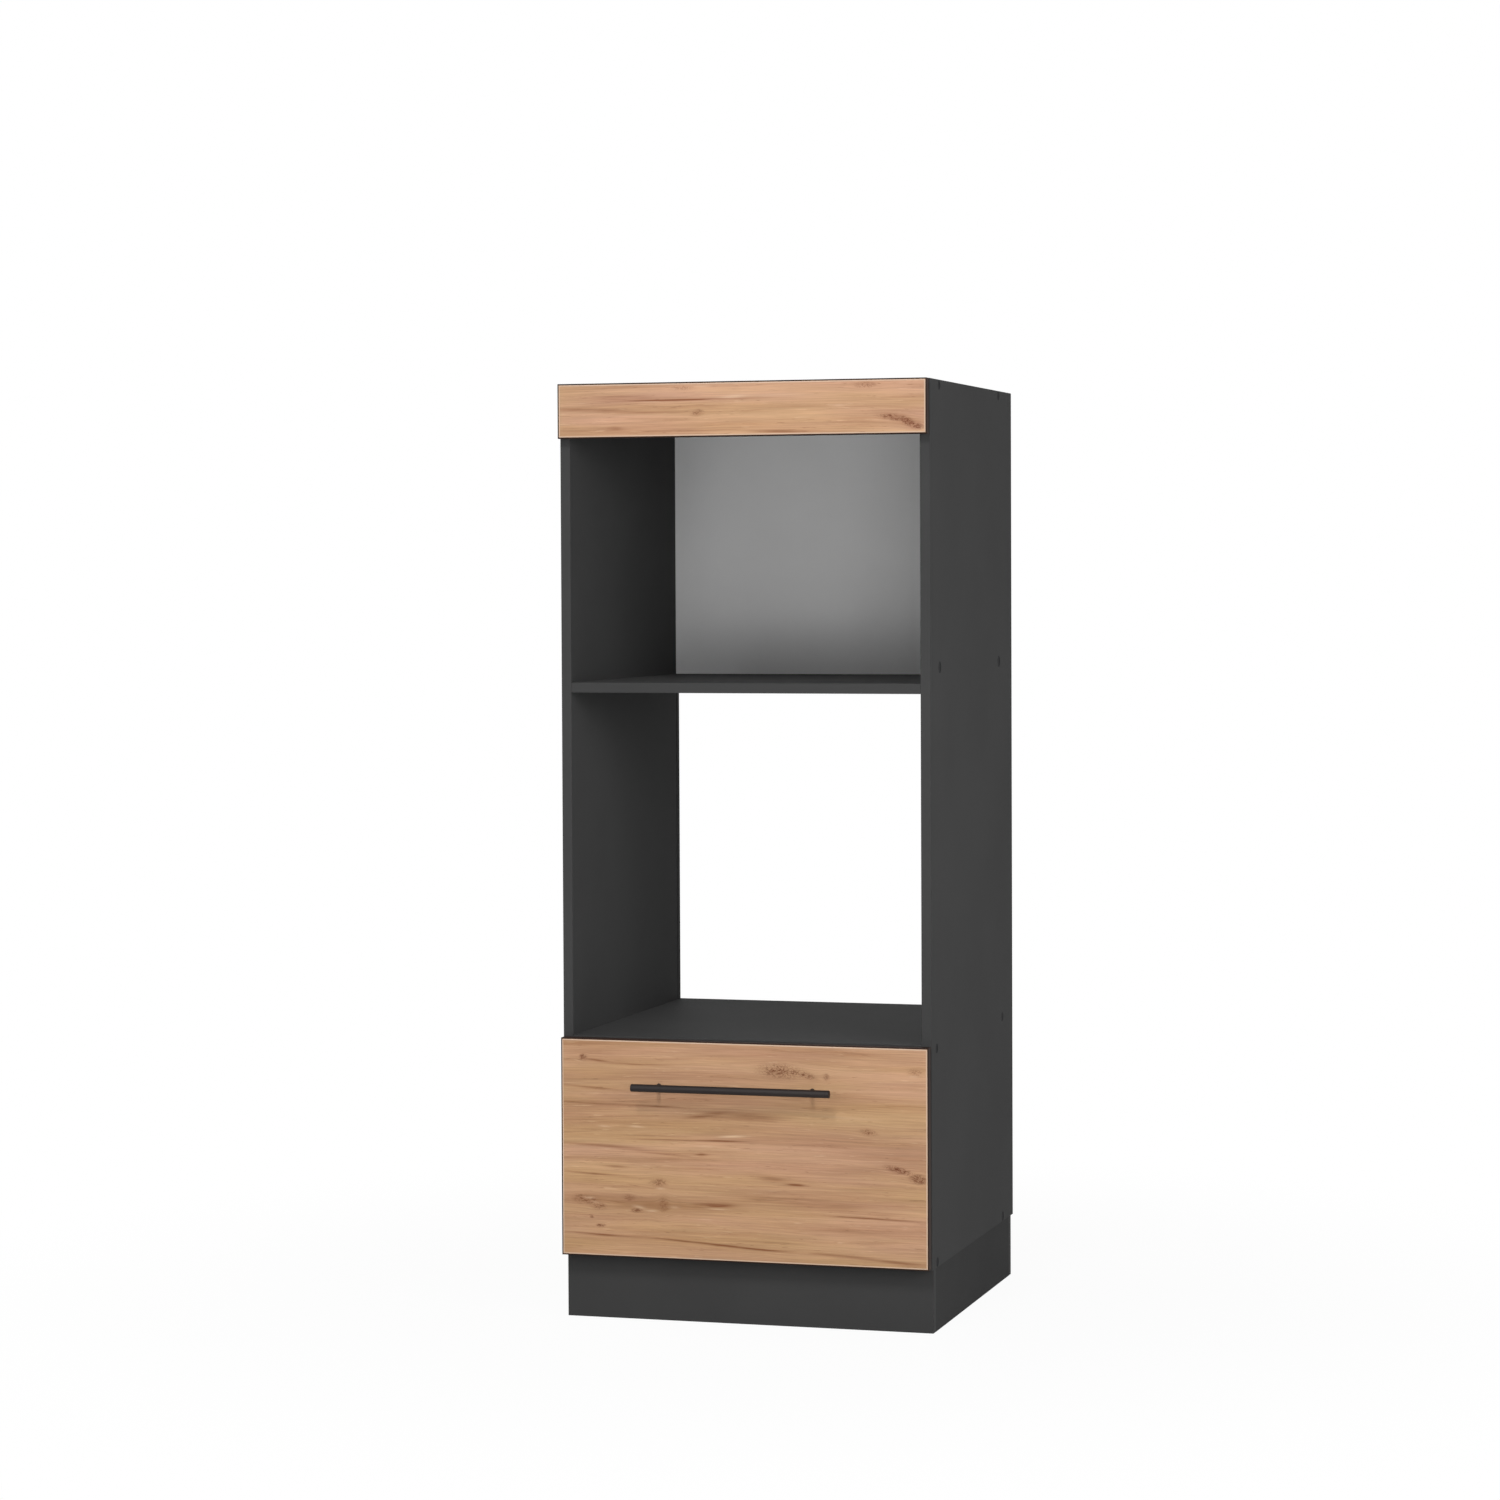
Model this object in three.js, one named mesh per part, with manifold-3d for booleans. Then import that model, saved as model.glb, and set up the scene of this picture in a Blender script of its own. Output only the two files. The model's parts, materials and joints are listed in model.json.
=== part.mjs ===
// Tall kitchen cabinet for a built-in microwave and oven, with one deep drawer below.
// Millimetres. +X is the right-hand side seen from the front, the front looks along -Y,
// +Z is up. The origin is on the floor, under the middle of the cabinet's outer box.

import * as THREE from 'three';
import { mergeVertices } from 'three/addons/utils/BufferGeometryUtils.js';
import Module from 'manifold-3d';

const wasm = await Module();
wasm.setup();

// ---------------------------------------------------------------- driving sizes

// Carcass
const CABINET_WIDTH = 600;
const CARCASS_DEPTH = 570;
const BOARD = 16;
const ARRIS = 0.8;
const THIN_ARRIS = 0.2;

// Heights, stacked from the floor upwards
const PLINTH_HEIGHT = 100;
const FRONT_LIFT = 2;
const DRAWER_FRONT_HEIGHT = 345;
const FRONT_TOP_REVEAL = 2;
const OVEN_NICHE_HEIGHT = 543;
const MICROWAVE_NICHE_HEIGHT = 384;
const FASCIA_HEIGHT = 86;

// Plinth frame under the carcass
const PLINTH_BOARD = 16;
const PLINTH_FRONT_SETBACK = 12;
const PLINTH_REAR_SETBACK = 12;
const PLINTH_SIDE_SETBACK = 1;

// Back boards, held in grooves
const BACK_BOARD = 3;
const BACK_INSET = 16.5;
const BACK_GROOVE_DEPTH = 8;
const BACK_END_GAP = 0.5;
const GROOVE_SIDE_GAP = 0.25;

// Oak fronts
const FRONT_BOARD = 16;
const FRONT_SIDE_REVEAL = 1;
const BUMPER_GAP = 1;
const BUMPER_DIAMETER = 8;
const BUMPER_SQUEEZE = 0.2;
const BUMPER_CORNER_INSET = 12;

// Carcass screws and the caps over them
const SCREW_LENGTH = 50;
const SCREW_SHANK = 7;
const SCREW_HEAD = 10;
const SCREW_HEAD_HEIGHT = 4;
const SCREW_SOCKET = 4.4;
const SCREW_SOCKET_DEPTH = 3;
const SCREW_TIP = 6;
const SCREW_TIP_TAPER = 1;
const SCREW_HEAD_RIM = 1;
const CAP_DIAMETER = 15;
const CAP_DEPTH = 2;
const FIT_GAP = 0.3;
const TOP_SCREW_FRONT = 61;
const TOP_SCREW_REAR = 96;
const LOW_SCREW_FRONT = 34;
const LOW_SCREW_REAR = 77;

// Shelf fittings: a cam in the shelf draws a bolt in the side panel
const CAM_DIAMETER = 15;
const CAM_DEPTH = 12.5;
const CAM_DISTANCE = 34;
const CAM_SLOT_WIDTH = 1.6;
const CAM_SLOT_DEPTH = 1.5;
const CAM_SLOT_LENGTH = 10;
const BOLT_HEAD = 6.4;
const BOLT_HEAD_LENGTH = 3;
const BOLT_NECK = 3.6;
const BOLT_NECK_LENGTH = 4;
const BOLT_ROD = 6;
const BOLT_THREAD = 5;
const BOLT_THREAD_DEPTH = 11;

// Plugs in the unused row of shelf holes, one hole pitch above the shelf
const HOLE_PITCH = 32;
const PLUG_DIAMETER = 18;
const PLUG_FLANGE = 2;
const PLUG_STEM = 10;
const PLUG_STEM_LENGTH = 8;
const PLUG_ARRIS = 0.5;

// Angle brackets that hold the fascia
const BRACKET_LEG = 30;
const BRACKET_WIDTH = 20;
const BRACKET_SHEET = 2;
const BRACKET_HOLE = 5;
const BRACKET_HOLE_INSET = 19;

// Drawer box
const DRAWER_BOARD = 16;
const DRAWER_TOP_CLEARANCE = 17;
const DRAWER_REAR_CLEARANCE = 54.5;
const DRAWER_LIFT = 18;
const DRAWER_BOTTOM = 3;
const DRAWER_BOTTOM_LIFT = 12;
const DRAWER_GROOVE_DEPTH = 8;

// Screws through the box into the drawer front
const FRONT_SCREW = 4;
const FRONT_SCREW_HEAD = 8;
const FRONT_SCREW_HEAD_HEIGHT = 2;
const FRONT_SCREW_RIM = 0.4;
const FRONT_SCREW_BITE = 12;
const FRONT_SCREW_INSET = 55;

// Drawer runners, three members nested on each side
const RUNNER_SPACE = 13;
const RUNNER_HEIGHT = 45;
const RUNNER_SHEET = 1.2;
const RUNNER_GAP = 0.4;
const RUNNER_SETBACK = 2;
const RUNNER_MIDDLE_SHORTER = 8;
const RUNNER_AXIS_LIFT = 70;
const RUNNER_TIP_INSET = 3.6;

// Rail handle
const HANDLE_LENGTH = 322;
const HANDLE_BAR = 12;
const HANDLE_POST = 8;
const HANDLE_POST_INSET = 36;
const HANDLE_STANDOFF = 32;
const HANDLE_DROP = 72;
const HANDLE_OFFSET = -11.5;
const HANDLE_ARRIS = 1;
const HANDLE_SCREW = 4;
const HANDLE_SCREW_HEAD = 8;
const HANDLE_SCREW_HEAD_HEIGHT = 2.5;
const HANDLE_SCREW_HEAD_TAPER = 1;
const HANDLE_SCREW_BITE = 10;

// Facets round a full turn
const ROUND_SIDES = 16;
const BAR_SIDES = 32;

// ---------------------------------------------------------------- derived places

const HALF_WIDTH = CABINET_WIDTH / 2;
const INNER_HALF = HALF_WIDTH - BOARD;
const CARCASS_BOTTOM = PLINTH_HEIGHT;
const BOTTOM_TOP = CARCASS_BOTTOM + BOARD;
const FRONT_BOTTOM = CARCASS_BOTTOM + FRONT_LIFT;
const FRONT_TOP = FRONT_BOTTOM + DRAWER_FRONT_HEIGHT;
const OVEN_FLOOR_TOP = FRONT_TOP + FRONT_TOP_REVEAL;
const OVEN_FLOOR_UNDER = OVEN_FLOOR_TOP - BOARD;
const SHELF_UNDER = OVEN_FLOOR_TOP + OVEN_NICHE_HEIGHT;
const SHELF_TOP = SHELF_UNDER + BOARD;
const FASCIA_BOTTOM = SHELF_TOP + MICROWAVE_NICHE_HEIGHT;
const CABINET_TOP = FASCIA_BOTTOM + FASCIA_HEIGHT;
const TOP_UNDER = CABINET_TOP - BOARD;
const BACK_FRONT = CARCASS_DEPTH - BACK_INSET;
const BACK_REAR = BACK_FRONT + BACK_BOARD;
const FRONT_HALF = HALF_WIDTH - FRONT_SIDE_REVEAL;
const FRONT_BACK_FACE = -BUMPER_GAP;
const FRONT_FACE = FRONT_BACK_FACE - FRONT_BOARD;
const HANDLE_HEIGHT = FRONT_TOP - HANDLE_DROP;
const HANDLE_AXIS = FRONT_FACE - HANDLE_STANDOFF;
const OUTER_FRONT = HANDLE_AXIS - HANDLE_BAR / 2;
const DEPTH_CENTRE = (OUTER_FRONT + CARCASS_DEPTH) / 2;

// ---------------------------------------------------------------- materials

const finish = (color, roughness, metalness) =>
  new THREE.MeshStandardMaterial({ color, roughness, metalness });

const graphiteBoard = () => finish(0x4a4a4b, 0.62, 0);
const oakBoard = () => finish(0xc39a74, 0.55, 0);
const backBoard = () => finish(0x8d8d8e, 0.7, 0);
const drawerBoard = () => finish(0xb9b8b5, 0.6, 0);
const zincSteel = () => finish(0xb6b9bb, 0.35, 0.9);
const blackPlastic = () => finish(0x1c1c1d, 0.5, 0);
const clearPlastic = () => finish(0xd8dadb, 0.3, 0);
const handleMetal = () => finish(0x35353a, 0.45, 0.6);

// ---------------------------------------------------------------- solids

// A closed three.js geometry as a solid that can be cut and joined.
function toSolid(geometry) {
  const bare = geometry.clone();
  bare.deleteAttribute('normal');
  bare.deleteAttribute('uv');
  const merged = mergeVertices(bare, 1e-4);
  const vertProperties = new Float32Array(merged.attributes.position.array);
  const triVerts = new Uint32Array(merged.index.array);
  return new wasm.Manifold(new wasm.Mesh({ numProp: 3, vertProperties, triVerts }));
}

// The solid's vertices and triangles as a geometry again.
function toGeometry(solid) {
  const mesh = solid.getMesh();
  const geometry = new THREE.BufferGeometry();
  geometry.setAttribute('position', new THREE.BufferAttribute(mesh.vertProperties, 3));
  geometry.setIndex(new THREE.BufferAttribute(mesh.triVerts, 1));
  geometry.computeVertexNormals();
  return geometry;
}

function cut(geometry, cutters) {
  if (cutters.length === 0) return geometry;
  const solid = cutters.reduce((rest, cutter) => rest.subtract(toSolid(cutter)), toSolid(geometry));
  return toGeometry(solid);
}

// A box between two corners, used as a cutter.
function blockCutter([x0, x1], [y0, y1], [z0, z1]) {
  const block = new THREE.BoxGeometry(x1 - x0, y1 - y0, z1 - z0);
  return block.translate((x0 + x1) / 2, (y0 + y1) / 2, (z0 + z1) / 2);
}

// A round cutter between two points on one axis: 'x', 'y' or 'z'.
function roundCutter(axis, diameter, from, to, centre) {
  const length = Math.abs(to - from);
  const round = new THREE.CylinderGeometry(diameter / 2, diameter / 2, length, ROUND_SIDES);
  if (axis === 'x') round.rotateZ(Math.PI / 2);
  if (axis === 'z') round.rotateX(Math.PI / 2);
  const place = new THREE.Vector3(centre.x ?? 0, centre.y ?? 0, centre.z ?? 0);
  place[axis] = (from + to) / 2;
  return round.translate(place.x, place.y, place.z);
}

// A board with a small arris on every edge, centred on its own middle.
function arrisedBoard(width, depth, height, arris) {
  const x = width / 2 - arris;
  const y = depth / 2 - arris;
  const outline = new THREE.Shape();
  outline.moveTo(-x, -y);
  outline.lineTo(x, -y);
  outline.lineTo(x, y);
  outline.lineTo(-x, y);
  outline.closePath();
  const board = new THREE.ExtrudeGeometry(outline, {
    depth: height - 2 * arris,
    bevelEnabled: true,
    bevelSegments: 1,
    bevelSize: arris,
    bevelThickness: arris,
    curveSegments: 1,
  });
  return board.translate(0, 0, -(height - 2 * arris) / 2);
}

// A solid turned round its own axis from (radius, height) pairs that start and end on it.
function turned(profile, sides) {
  const points = profile.map(([radius, height]) => new THREE.Vector2(radius, height));
  return new THREE.LatheGeometry(points, sides);
}

function addMesh(group, name, geometry, material, place = [0, 0, 0]) {
  const mesh = new THREE.Mesh(geometry, material);
  mesh.name = name;
  mesh.position.set(...place);
  group.add(mesh);
  return mesh;
}

// A board given by its two corners, with cutters placed in the same coordinates.
function addBoard(group, name, [x0, x1], [y0, y1], [z0, z1], material, cutters = [], arris = ARRIS) {
  const centre = [(x0 + x1) / 2, (y0 + y1) / 2, (z0 + z1) / 2];
  const board = arrisedBoard(x1 - x0, y1 - y0, z1 - z0, arris);
  const back = centre.map((value) => -value);
  const localCutters = cutters.map((cutter) => cutter.translate(...back));
  return addMesh(group, name, cut(board, localCutters), material, centre);
}

function addGroup(parent, name) {
  const group = new THREE.Group();
  group.name = name;
  parent.add(group);
  return group;
}

// ---------------------------------------------------------------- joint places

// Left is -1, right is +1.
const SIDES = [['left', -1], ['right', 1]];

// Screws through each side panel into the ends of three boards.
function screwPlaces() {
  const rows = [
    { board: 'top', z: CABINET_TOP - BOARD / 2, front: TOP_SCREW_FRONT, rear: TOP_SCREW_REAR },
    { board: 'oven_floor', z: OVEN_FLOOR_TOP - BOARD / 2, front: LOW_SCREW_FRONT, rear: LOW_SCREW_REAR },
    { board: 'bottom', z: CARCASS_BOTTOM + BOARD / 2, front: LOW_SCREW_FRONT, rear: LOW_SCREW_REAR },
  ];
  return rows.flatMap(({ board, z, front, rear }) => [
    { board, end: 'front', y: front, z },
    { board, end: 'rear', y: CARCASS_DEPTH - rear, z },
  ]);
}

// Cams and bolts of the shelf, and the plugs above them, share these depths.
const SHELF_FITTING_PLACES = [
  { end: 'front', y: TOP_SCREW_FRONT },
  { end: 'rear', y: CARCASS_DEPTH - TOP_SCREW_REAR },
];
const SHELF_CENTRE = SHELF_UNDER + BOARD / 2;
const PLUG_HEIGHT = SHELF_CENTRE + HOLE_PITCH;
const SCREW_SEAT = HALF_WIDTH - CAP_DEPTH;

// ---------------------------------------------------------------- carcass

// The groove for a back board, cut from the surface at `face` into the board behind it.
function sideGroove(direction) {
  const mouth = direction * (INNER_HALF - BOARD);
  const floor = direction * (INNER_HALF + BACK_GROOVE_DEPTH);
  const y = [BACK_FRONT - GROOVE_SIDE_GAP, BACK_REAR + GROOVE_SIDE_GAP];
  const z = [CARCASS_BOTTOM - BOARD, CABINET_TOP + BOARD];
  return blockCutter([Math.min(mouth, floor), Math.max(mouth, floor)], y, z);
}

// The groove across a shelf or a carcass board, from z0 to z1.
function crossGroove(z0, z1) {
  const y = [BACK_FRONT - GROOVE_SIDE_GAP, BACK_REAR + GROOVE_SIDE_GAP];
  return blockCutter([-CABINET_WIDTH, CABINET_WIDTH], y, [z0, z1]);
}

function screwHolesInSide(direction) {
  const clear = 2 * FIT_GAP;
  const outside = direction * (HALF_WIDTH + BOARD);
  const inside = direction * (INNER_HALF - BOARD);
  const headFloor = direction * (SCREW_SEAT - SCREW_HEAD_HEIGHT - FIT_GAP);
  return screwPlaces().flatMap(({ y, z }) => [
    roundCutter('x', CAP_DIAMETER + clear, direction * SCREW_SEAT, outside, { y, z }),
    roundCutter('x', SCREW_HEAD + clear, headFloor, outside, { y, z }),
    roundCutter('x', SCREW_SHANK + clear, inside, outside, { y, z }),
  ]);
}

function shelfHolesInSide(direction) {
  const clear = 2 * FIT_GAP;
  const stemFloor = HALF_WIDTH - PLUG_FLANGE - PLUG_STEM_LENGTH - FIT_GAP;
  const outside = HALF_WIDTH + BOARD;
  return SHELF_FITTING_PLACES.flatMap(({ y }) => [
    roundCutter('x', BOLT_THREAD + clear, direction * (INNER_HALF - BOARD),
      direction * (INNER_HALF + BOLT_THREAD_DEPTH + FIT_GAP), { y, z: SHELF_CENTRE }),
    roundCutter('x', PLUG_DIAMETER + clear, direction * (HALF_WIDTH - PLUG_FLANGE - FIT_GAP),
      direction * outside, { y, z: PLUG_HEIGHT }),
    roundCutter('x', PLUG_STEM + clear, direction * stemFloor, direction * outside, { y, z: PLUG_HEIGHT }),
  ]);
}

// Pilot holes in both ends of a board for the screws at its level.
function screwPilots(board) {
  const depth = SCREW_LENGTH - (SCREW_SEAT - INNER_HALF) + FIT_GAP;
  const places = screwPlaces().filter((place) => place.board === board);
  return SIDES.flatMap(([, direction]) => places.map(({ y, z }) =>
    roundCutter('x', SCREW_SHANK + 2 * FIT_GAP, direction * (INNER_HALF - depth),
      direction * (INNER_HALF + BOARD), { y, z })));
}

function camHoles() {
  const clear = 2 * FIT_GAP;
  const camFloor = SHELF_UNDER + CAM_DEPTH + FIT_GAP;
  return SIDES.flatMap(([, direction]) => SHELF_FITTING_PLACES.flatMap(({ y }) => [
    roundCutter('z', CAM_DIAMETER + clear, SHELF_UNDER - BOARD, camFloor,
      { x: direction * (INNER_HALF - CAM_DISTANCE), y }),
    roundCutter('x', BOLT_HEAD + clear, direction * (INNER_HALF - CAM_DISTANCE),
      direction * (INNER_HALF + BOARD), { y, z: SHELF_CENTRE }),
  ]));
}

function buildCarcass(parent) {
  const carcass = addGroup(parent, 'carcass');
  const fullDepth = [0, CARCASS_DEPTH];
  const between = [-INNER_HALF, INNER_HALF];
  for (const [side, direction] of SIDES) {
    const x = direction < 0 ? [-HALF_WIDTH, -INNER_HALF] : [INNER_HALF, HALF_WIDTH];
    const height = [CARCASS_BOTTOM, CABINET_TOP];
    const cutters = [sideGroove(direction), ...screwHolesInSide(direction), ...shelfHolesInSide(direction)];
    addBoard(carcass, `side_panel_${side}`, x, fullDepth, height, graphiteBoard(), cutters);
  }
  addBoard(carcass, 'top_panel', between, fullDepth, [TOP_UNDER, CABINET_TOP], graphiteBoard(),
    [crossGroove(TOP_UNDER - BOARD, TOP_UNDER + BACK_GROOVE_DEPTH), ...screwPilots('top')]);
  addBoard(carcass, 'microwave_shelf', between, fullDepth, [SHELF_UNDER, SHELF_TOP], graphiteBoard(),
    [crossGroove(SHELF_TOP - BACK_GROOVE_DEPTH, SHELF_TOP + BOARD), ...camHoles()]);
  addBoard(carcass, 'oven_floor_panel', between, fullDepth, [OVEN_FLOOR_UNDER, OVEN_FLOOR_TOP],
    graphiteBoard(), [crossGroove(OVEN_FLOOR_UNDER - BOARD, OVEN_FLOOR_UNDER + BACK_GROOVE_DEPTH),
      ...screwPilots('oven_floor')]);
  addBoard(carcass, 'bottom_panel', between, fullDepth, [CARCASS_BOTTOM, BOTTOM_TOP], graphiteBoard(),
    [crossGroove(BOTTOM_TOP - BACK_GROOVE_DEPTH, BOTTOM_TOP + BOARD), ...screwPilots('bottom')]);
  const tongue = BACK_GROOVE_DEPTH - BACK_END_GAP;
  const backX = [-INNER_HALF - tongue, INNER_HALF + tongue];
  const backY = [BACK_FRONT, BACK_REAR];
  addBoard(carcass, 'back_panel_upper', backX, backY, [SHELF_TOP - tongue, TOP_UNDER + tongue],
    backBoard(), [], THIN_ARRIS);
  addBoard(carcass, 'back_panel_lower', backX, backY, [BOTTOM_TOP - tongue, OVEN_FLOOR_UNDER + tongue],
    backBoard(), [], THIN_ARRIS);
}

// ---------------------------------------------------------------- plinth

function buildPlinth(parent) {
  const plinth = addGroup(parent, 'plinth');
  const half = HALF_WIDTH - PLINTH_SIDE_SETBACK;
  const front = PLINTH_FRONT_SETBACK;
  const rear = CARCASS_DEPTH - PLINTH_REAR_SETBACK;
  const height = [0, PLINTH_HEIGHT];
  const sideY = [front + PLINTH_BOARD, rear - PLINTH_BOARD];
  addBoard(plinth, 'plinth_front', [-half, half], [front, front + PLINTH_BOARD], height, graphiteBoard());
  addBoard(plinth, 'plinth_rear', [-half, half], [rear - PLINTH_BOARD, rear], height, graphiteBoard());
  addBoard(plinth, 'plinth_left', [-half, PLINTH_BOARD - half], sideY, height, graphiteBoard());
  addBoard(plinth, 'plinth_right', [half - PLINTH_BOARD, half], sideY, height, graphiteBoard());
}

// ---------------------------------------------------------------- fascia

// One sheet-steel angle: a leg on the side panel and a leg on the fascia's back.
function bracketGeometry(direction) {
  const outline = new THREE.Shape();
  outline.moveTo(0, 0);
  outline.lineTo(-direction * BRACKET_LEG, 0);
  outline.lineTo(-direction * BRACKET_LEG, BRACKET_SHEET);
  outline.lineTo(-direction * BRACKET_SHEET, BRACKET_SHEET);
  outline.lineTo(-direction * BRACKET_SHEET, BRACKET_LEG);
  outline.lineTo(0, BRACKET_LEG);
  outline.closePath();
  const angle = new THREE.ExtrudeGeometry(outline, { depth: BRACKET_WIDTH, bevelEnabled: false });
  angle.translate(0, 0, -BRACKET_WIDTH / 2);
  const reach = BRACKET_LEG / 2;
  return cut(angle, [
    roundCutter('x', BRACKET_HOLE, -reach, reach, { y: BRACKET_HOLE_INSET }),
    roundCutter('y', BRACKET_HOLE, -reach, reach, { x: -direction * BRACKET_HOLE_INSET }),
  ]);
}

function buildFascia(parent) {
  const fascia = addGroup(parent, 'fascia');
  const height = [FASCIA_BOTTOM, CABINET_TOP];
  addBoard(fascia, 'fascia_panel', [-FRONT_HALF, FRONT_HALF], [-FRONT_BOARD, 0], height, oakBoard());
  const level = (FASCIA_BOTTOM + TOP_UNDER) / 2;
  for (const [side, direction] of SIDES) {
    addMesh(fascia, `fascia_bracket_${side}`, bracketGeometry(direction), zincSteel(),
      [direction * INNER_HALF, 0, level]);
  }
}

// ---------------------------------------------------------------- carcass fittings

// Heads lie in the side panels, the points in the ends of the boards between them.
function screwGeometry(direction) {
  const head = SCREW_HEAD / 2;
  const shank = SCREW_SHANK / 2;
  const socket = SCREW_SOCKET / 2;
  const screw = turned([
    [0, -SCREW_LENGTH],
    [shank - SCREW_TIP_TAPER, -SCREW_LENGTH + SCREW_TIP / 2],
    [shank, -SCREW_LENGTH + SCREW_TIP],
    [shank, -SCREW_HEAD_HEIGHT],
    [head, -SCREW_HEAD_RIM],
    [head, 0],
    [socket, 0],
    [socket, -SCREW_SOCKET_DEPTH],
    [0, -SCREW_SOCKET_DEPTH],
  ], ROUND_SIDES);
  return screw.rotateZ(-direction * Math.PI / 2);
}

function camGeometry(direction) {
  const body = new THREE.CylinderGeometry(CAM_DIAMETER / 2, CAM_DIAMETER / 2, CAM_DEPTH, BAR_SIDES);
  body.rotateX(Math.PI / 2).translate(0, 0, CAM_DEPTH / 2);
  const boltHeight = SHELF_CENTRE - SHELF_UNDER;
  const slotHalf = CAM_SLOT_LENGTH / 2;
  const slotWide = CAM_SLOT_WIDTH / 2;
  return cut(body, [
    roundCutter('x', BOLT_HEAD + 2 * FIT_GAP, -direction * BOLT_HEAD_LENGTH, direction * CAM_DIAMETER,
      { z: boltHeight }),
    blockCutter([-slotHalf, slotHalf], [-slotWide, slotWide], [-BOARD, CAM_SLOT_DEPTH]),
    blockCutter([-slotWide, slotWide], [-slotHalf, slotHalf], [-BOARD, CAM_SLOT_DEPTH]),
  ]);
}

// From the cam's middle to the end of the thread in the side panel.
function boltGeometry(direction) {
  const head = BOLT_HEAD / 2;
  const neck = BOLT_NECK / 2;
  const rod = BOLT_ROD / 2;
  const thread = BOLT_THREAD / 2;
  const neckEnd = BOLT_HEAD_LENGTH + BOLT_NECK_LENGTH;
  const bolt = turned([
    [0, 0],
    [head, 0],
    [head, BOLT_HEAD_LENGTH],
    [neck, BOLT_HEAD_LENGTH],
    [neck, neckEnd],
    [rod, neckEnd],
    [rod, CAM_DISTANCE - FIT_GAP],
    [thread, CAM_DISTANCE - FIT_GAP],
    [thread, CAM_DISTANCE + BOLT_THREAD_DEPTH],
    [0, CAM_DISTANCE + BOLT_THREAD_DEPTH],
  ], ROUND_SIDES);
  return bolt.rotateZ(-direction * Math.PI / 2);
}

function plugGeometry(direction) {
  const flange = PLUG_DIAMETER / 2;
  const stem = PLUG_STEM / 2;
  const plug = turned([
    [0, -PLUG_FLANGE - PLUG_STEM_LENGTH],
    [stem, -PLUG_FLANGE - PLUG_STEM_LENGTH],
    [stem, -PLUG_FLANGE],
    [flange, -PLUG_FLANGE],
    [flange, -PLUG_ARRIS],
    [flange - PLUG_ARRIS, 0],
    [0, 0],
  ], BAR_SIDES);
  return plug.rotateZ(-direction * Math.PI / 2);
}

function buildFittings(parent) {
  const fittings = addGroup(parent, 'fittings');
  for (const [side, direction] of SIDES) {
    for (const { board, end, y, z } of screwPlaces()) {
      addMesh(fittings, `screw_${board}_${side}_${end}`, screwGeometry(direction), zincSteel(),
        [direction * SCREW_SEAT, y, z]);
    }
    for (const { end, y } of SHELF_FITTING_PLACES) {
      const camX = direction * (INNER_HALF - CAM_DISTANCE);
      addMesh(fittings, `shelf_cam_${side}_${end}`, camGeometry(direction), zincSteel(),
        [camX, y, SHELF_UNDER]);
      addMesh(fittings, `shelf_bolt_${side}_${end}`, boltGeometry(direction), zincSteel(),
        [camX, y, SHELF_CENTRE]);
      addMesh(fittings, `hole_plug_${side}_${end}`, plugGeometry(direction), blackPlastic(),
        [direction * HALF_WIDTH, y, PLUG_HEIGHT]);
    }
  }
}

// ---------------------------------------------------------------- drawer runners

// A channel section in the X-Z plane, web on one side, lips towards `lipX`.
function channelGeometry(webX, lipX, halfHeight, length) {
  const inward = Math.sign(lipX - webX);
  const webInner = webX + inward * RUNNER_SHEET;
  const lipZ = halfHeight - RUNNER_SHEET;
  const outline = new THREE.Shape();
  outline.moveTo(webX, -halfHeight);
  outline.lineTo(lipX, -halfHeight);
  outline.lineTo(lipX, -lipZ);
  outline.lineTo(webInner, -lipZ);
  outline.lineTo(webInner, lipZ);
  outline.lineTo(lipX, lipZ);
  outline.lineTo(lipX, halfHeight);
  outline.lineTo(webX, halfHeight);
  outline.closePath();
  const channel = new THREE.ExtrudeGeometry(outline, { depth: length, bevelEnabled: false });
  return channel.rotateX(Math.PI / 2).translate(0, length, 0);
}

const DRAWER_BOX_BOTTOM = BOTTOM_TOP + DRAWER_LIFT;
const DRAWER_BOX_REAR = BACK_FRONT - DRAWER_REAR_CLEARANCE;
const DRAWER_BOX_DEPTH = DRAWER_BOX_REAR - FRONT_BACK_FACE;
const RUNNER_Z = DRAWER_BOX_BOTTOM + RUNNER_AXIS_LIFT;

// The cabinet's members are as long as the drawer box is deep.
const RUNNER_LENGTH = DRAWER_BOX_DEPTH;

// Distances are measured inwards from the side panel's inner face.
const MIDDLE_WEB = RUNNER_SHEET + RUNNER_GAP;
const INNER_LIP = MIDDLE_WEB + RUNNER_SHEET + RUNNER_GAP;
const OUTER_LIP = RUNNER_SPACE - RUNNER_TIP_INSET;
const OUTER_HALF_HEIGHT = RUNNER_HEIGHT / 2;
const MIDDLE_HALF_HEIGHT = OUTER_HALF_HEIGHT - RUNNER_SHEET - RUNNER_GAP;
const INNER_HALF_HEIGHT = MIDDLE_HALF_HEIGHT - RUNNER_SHEET - RUNNER_GAP;

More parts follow.
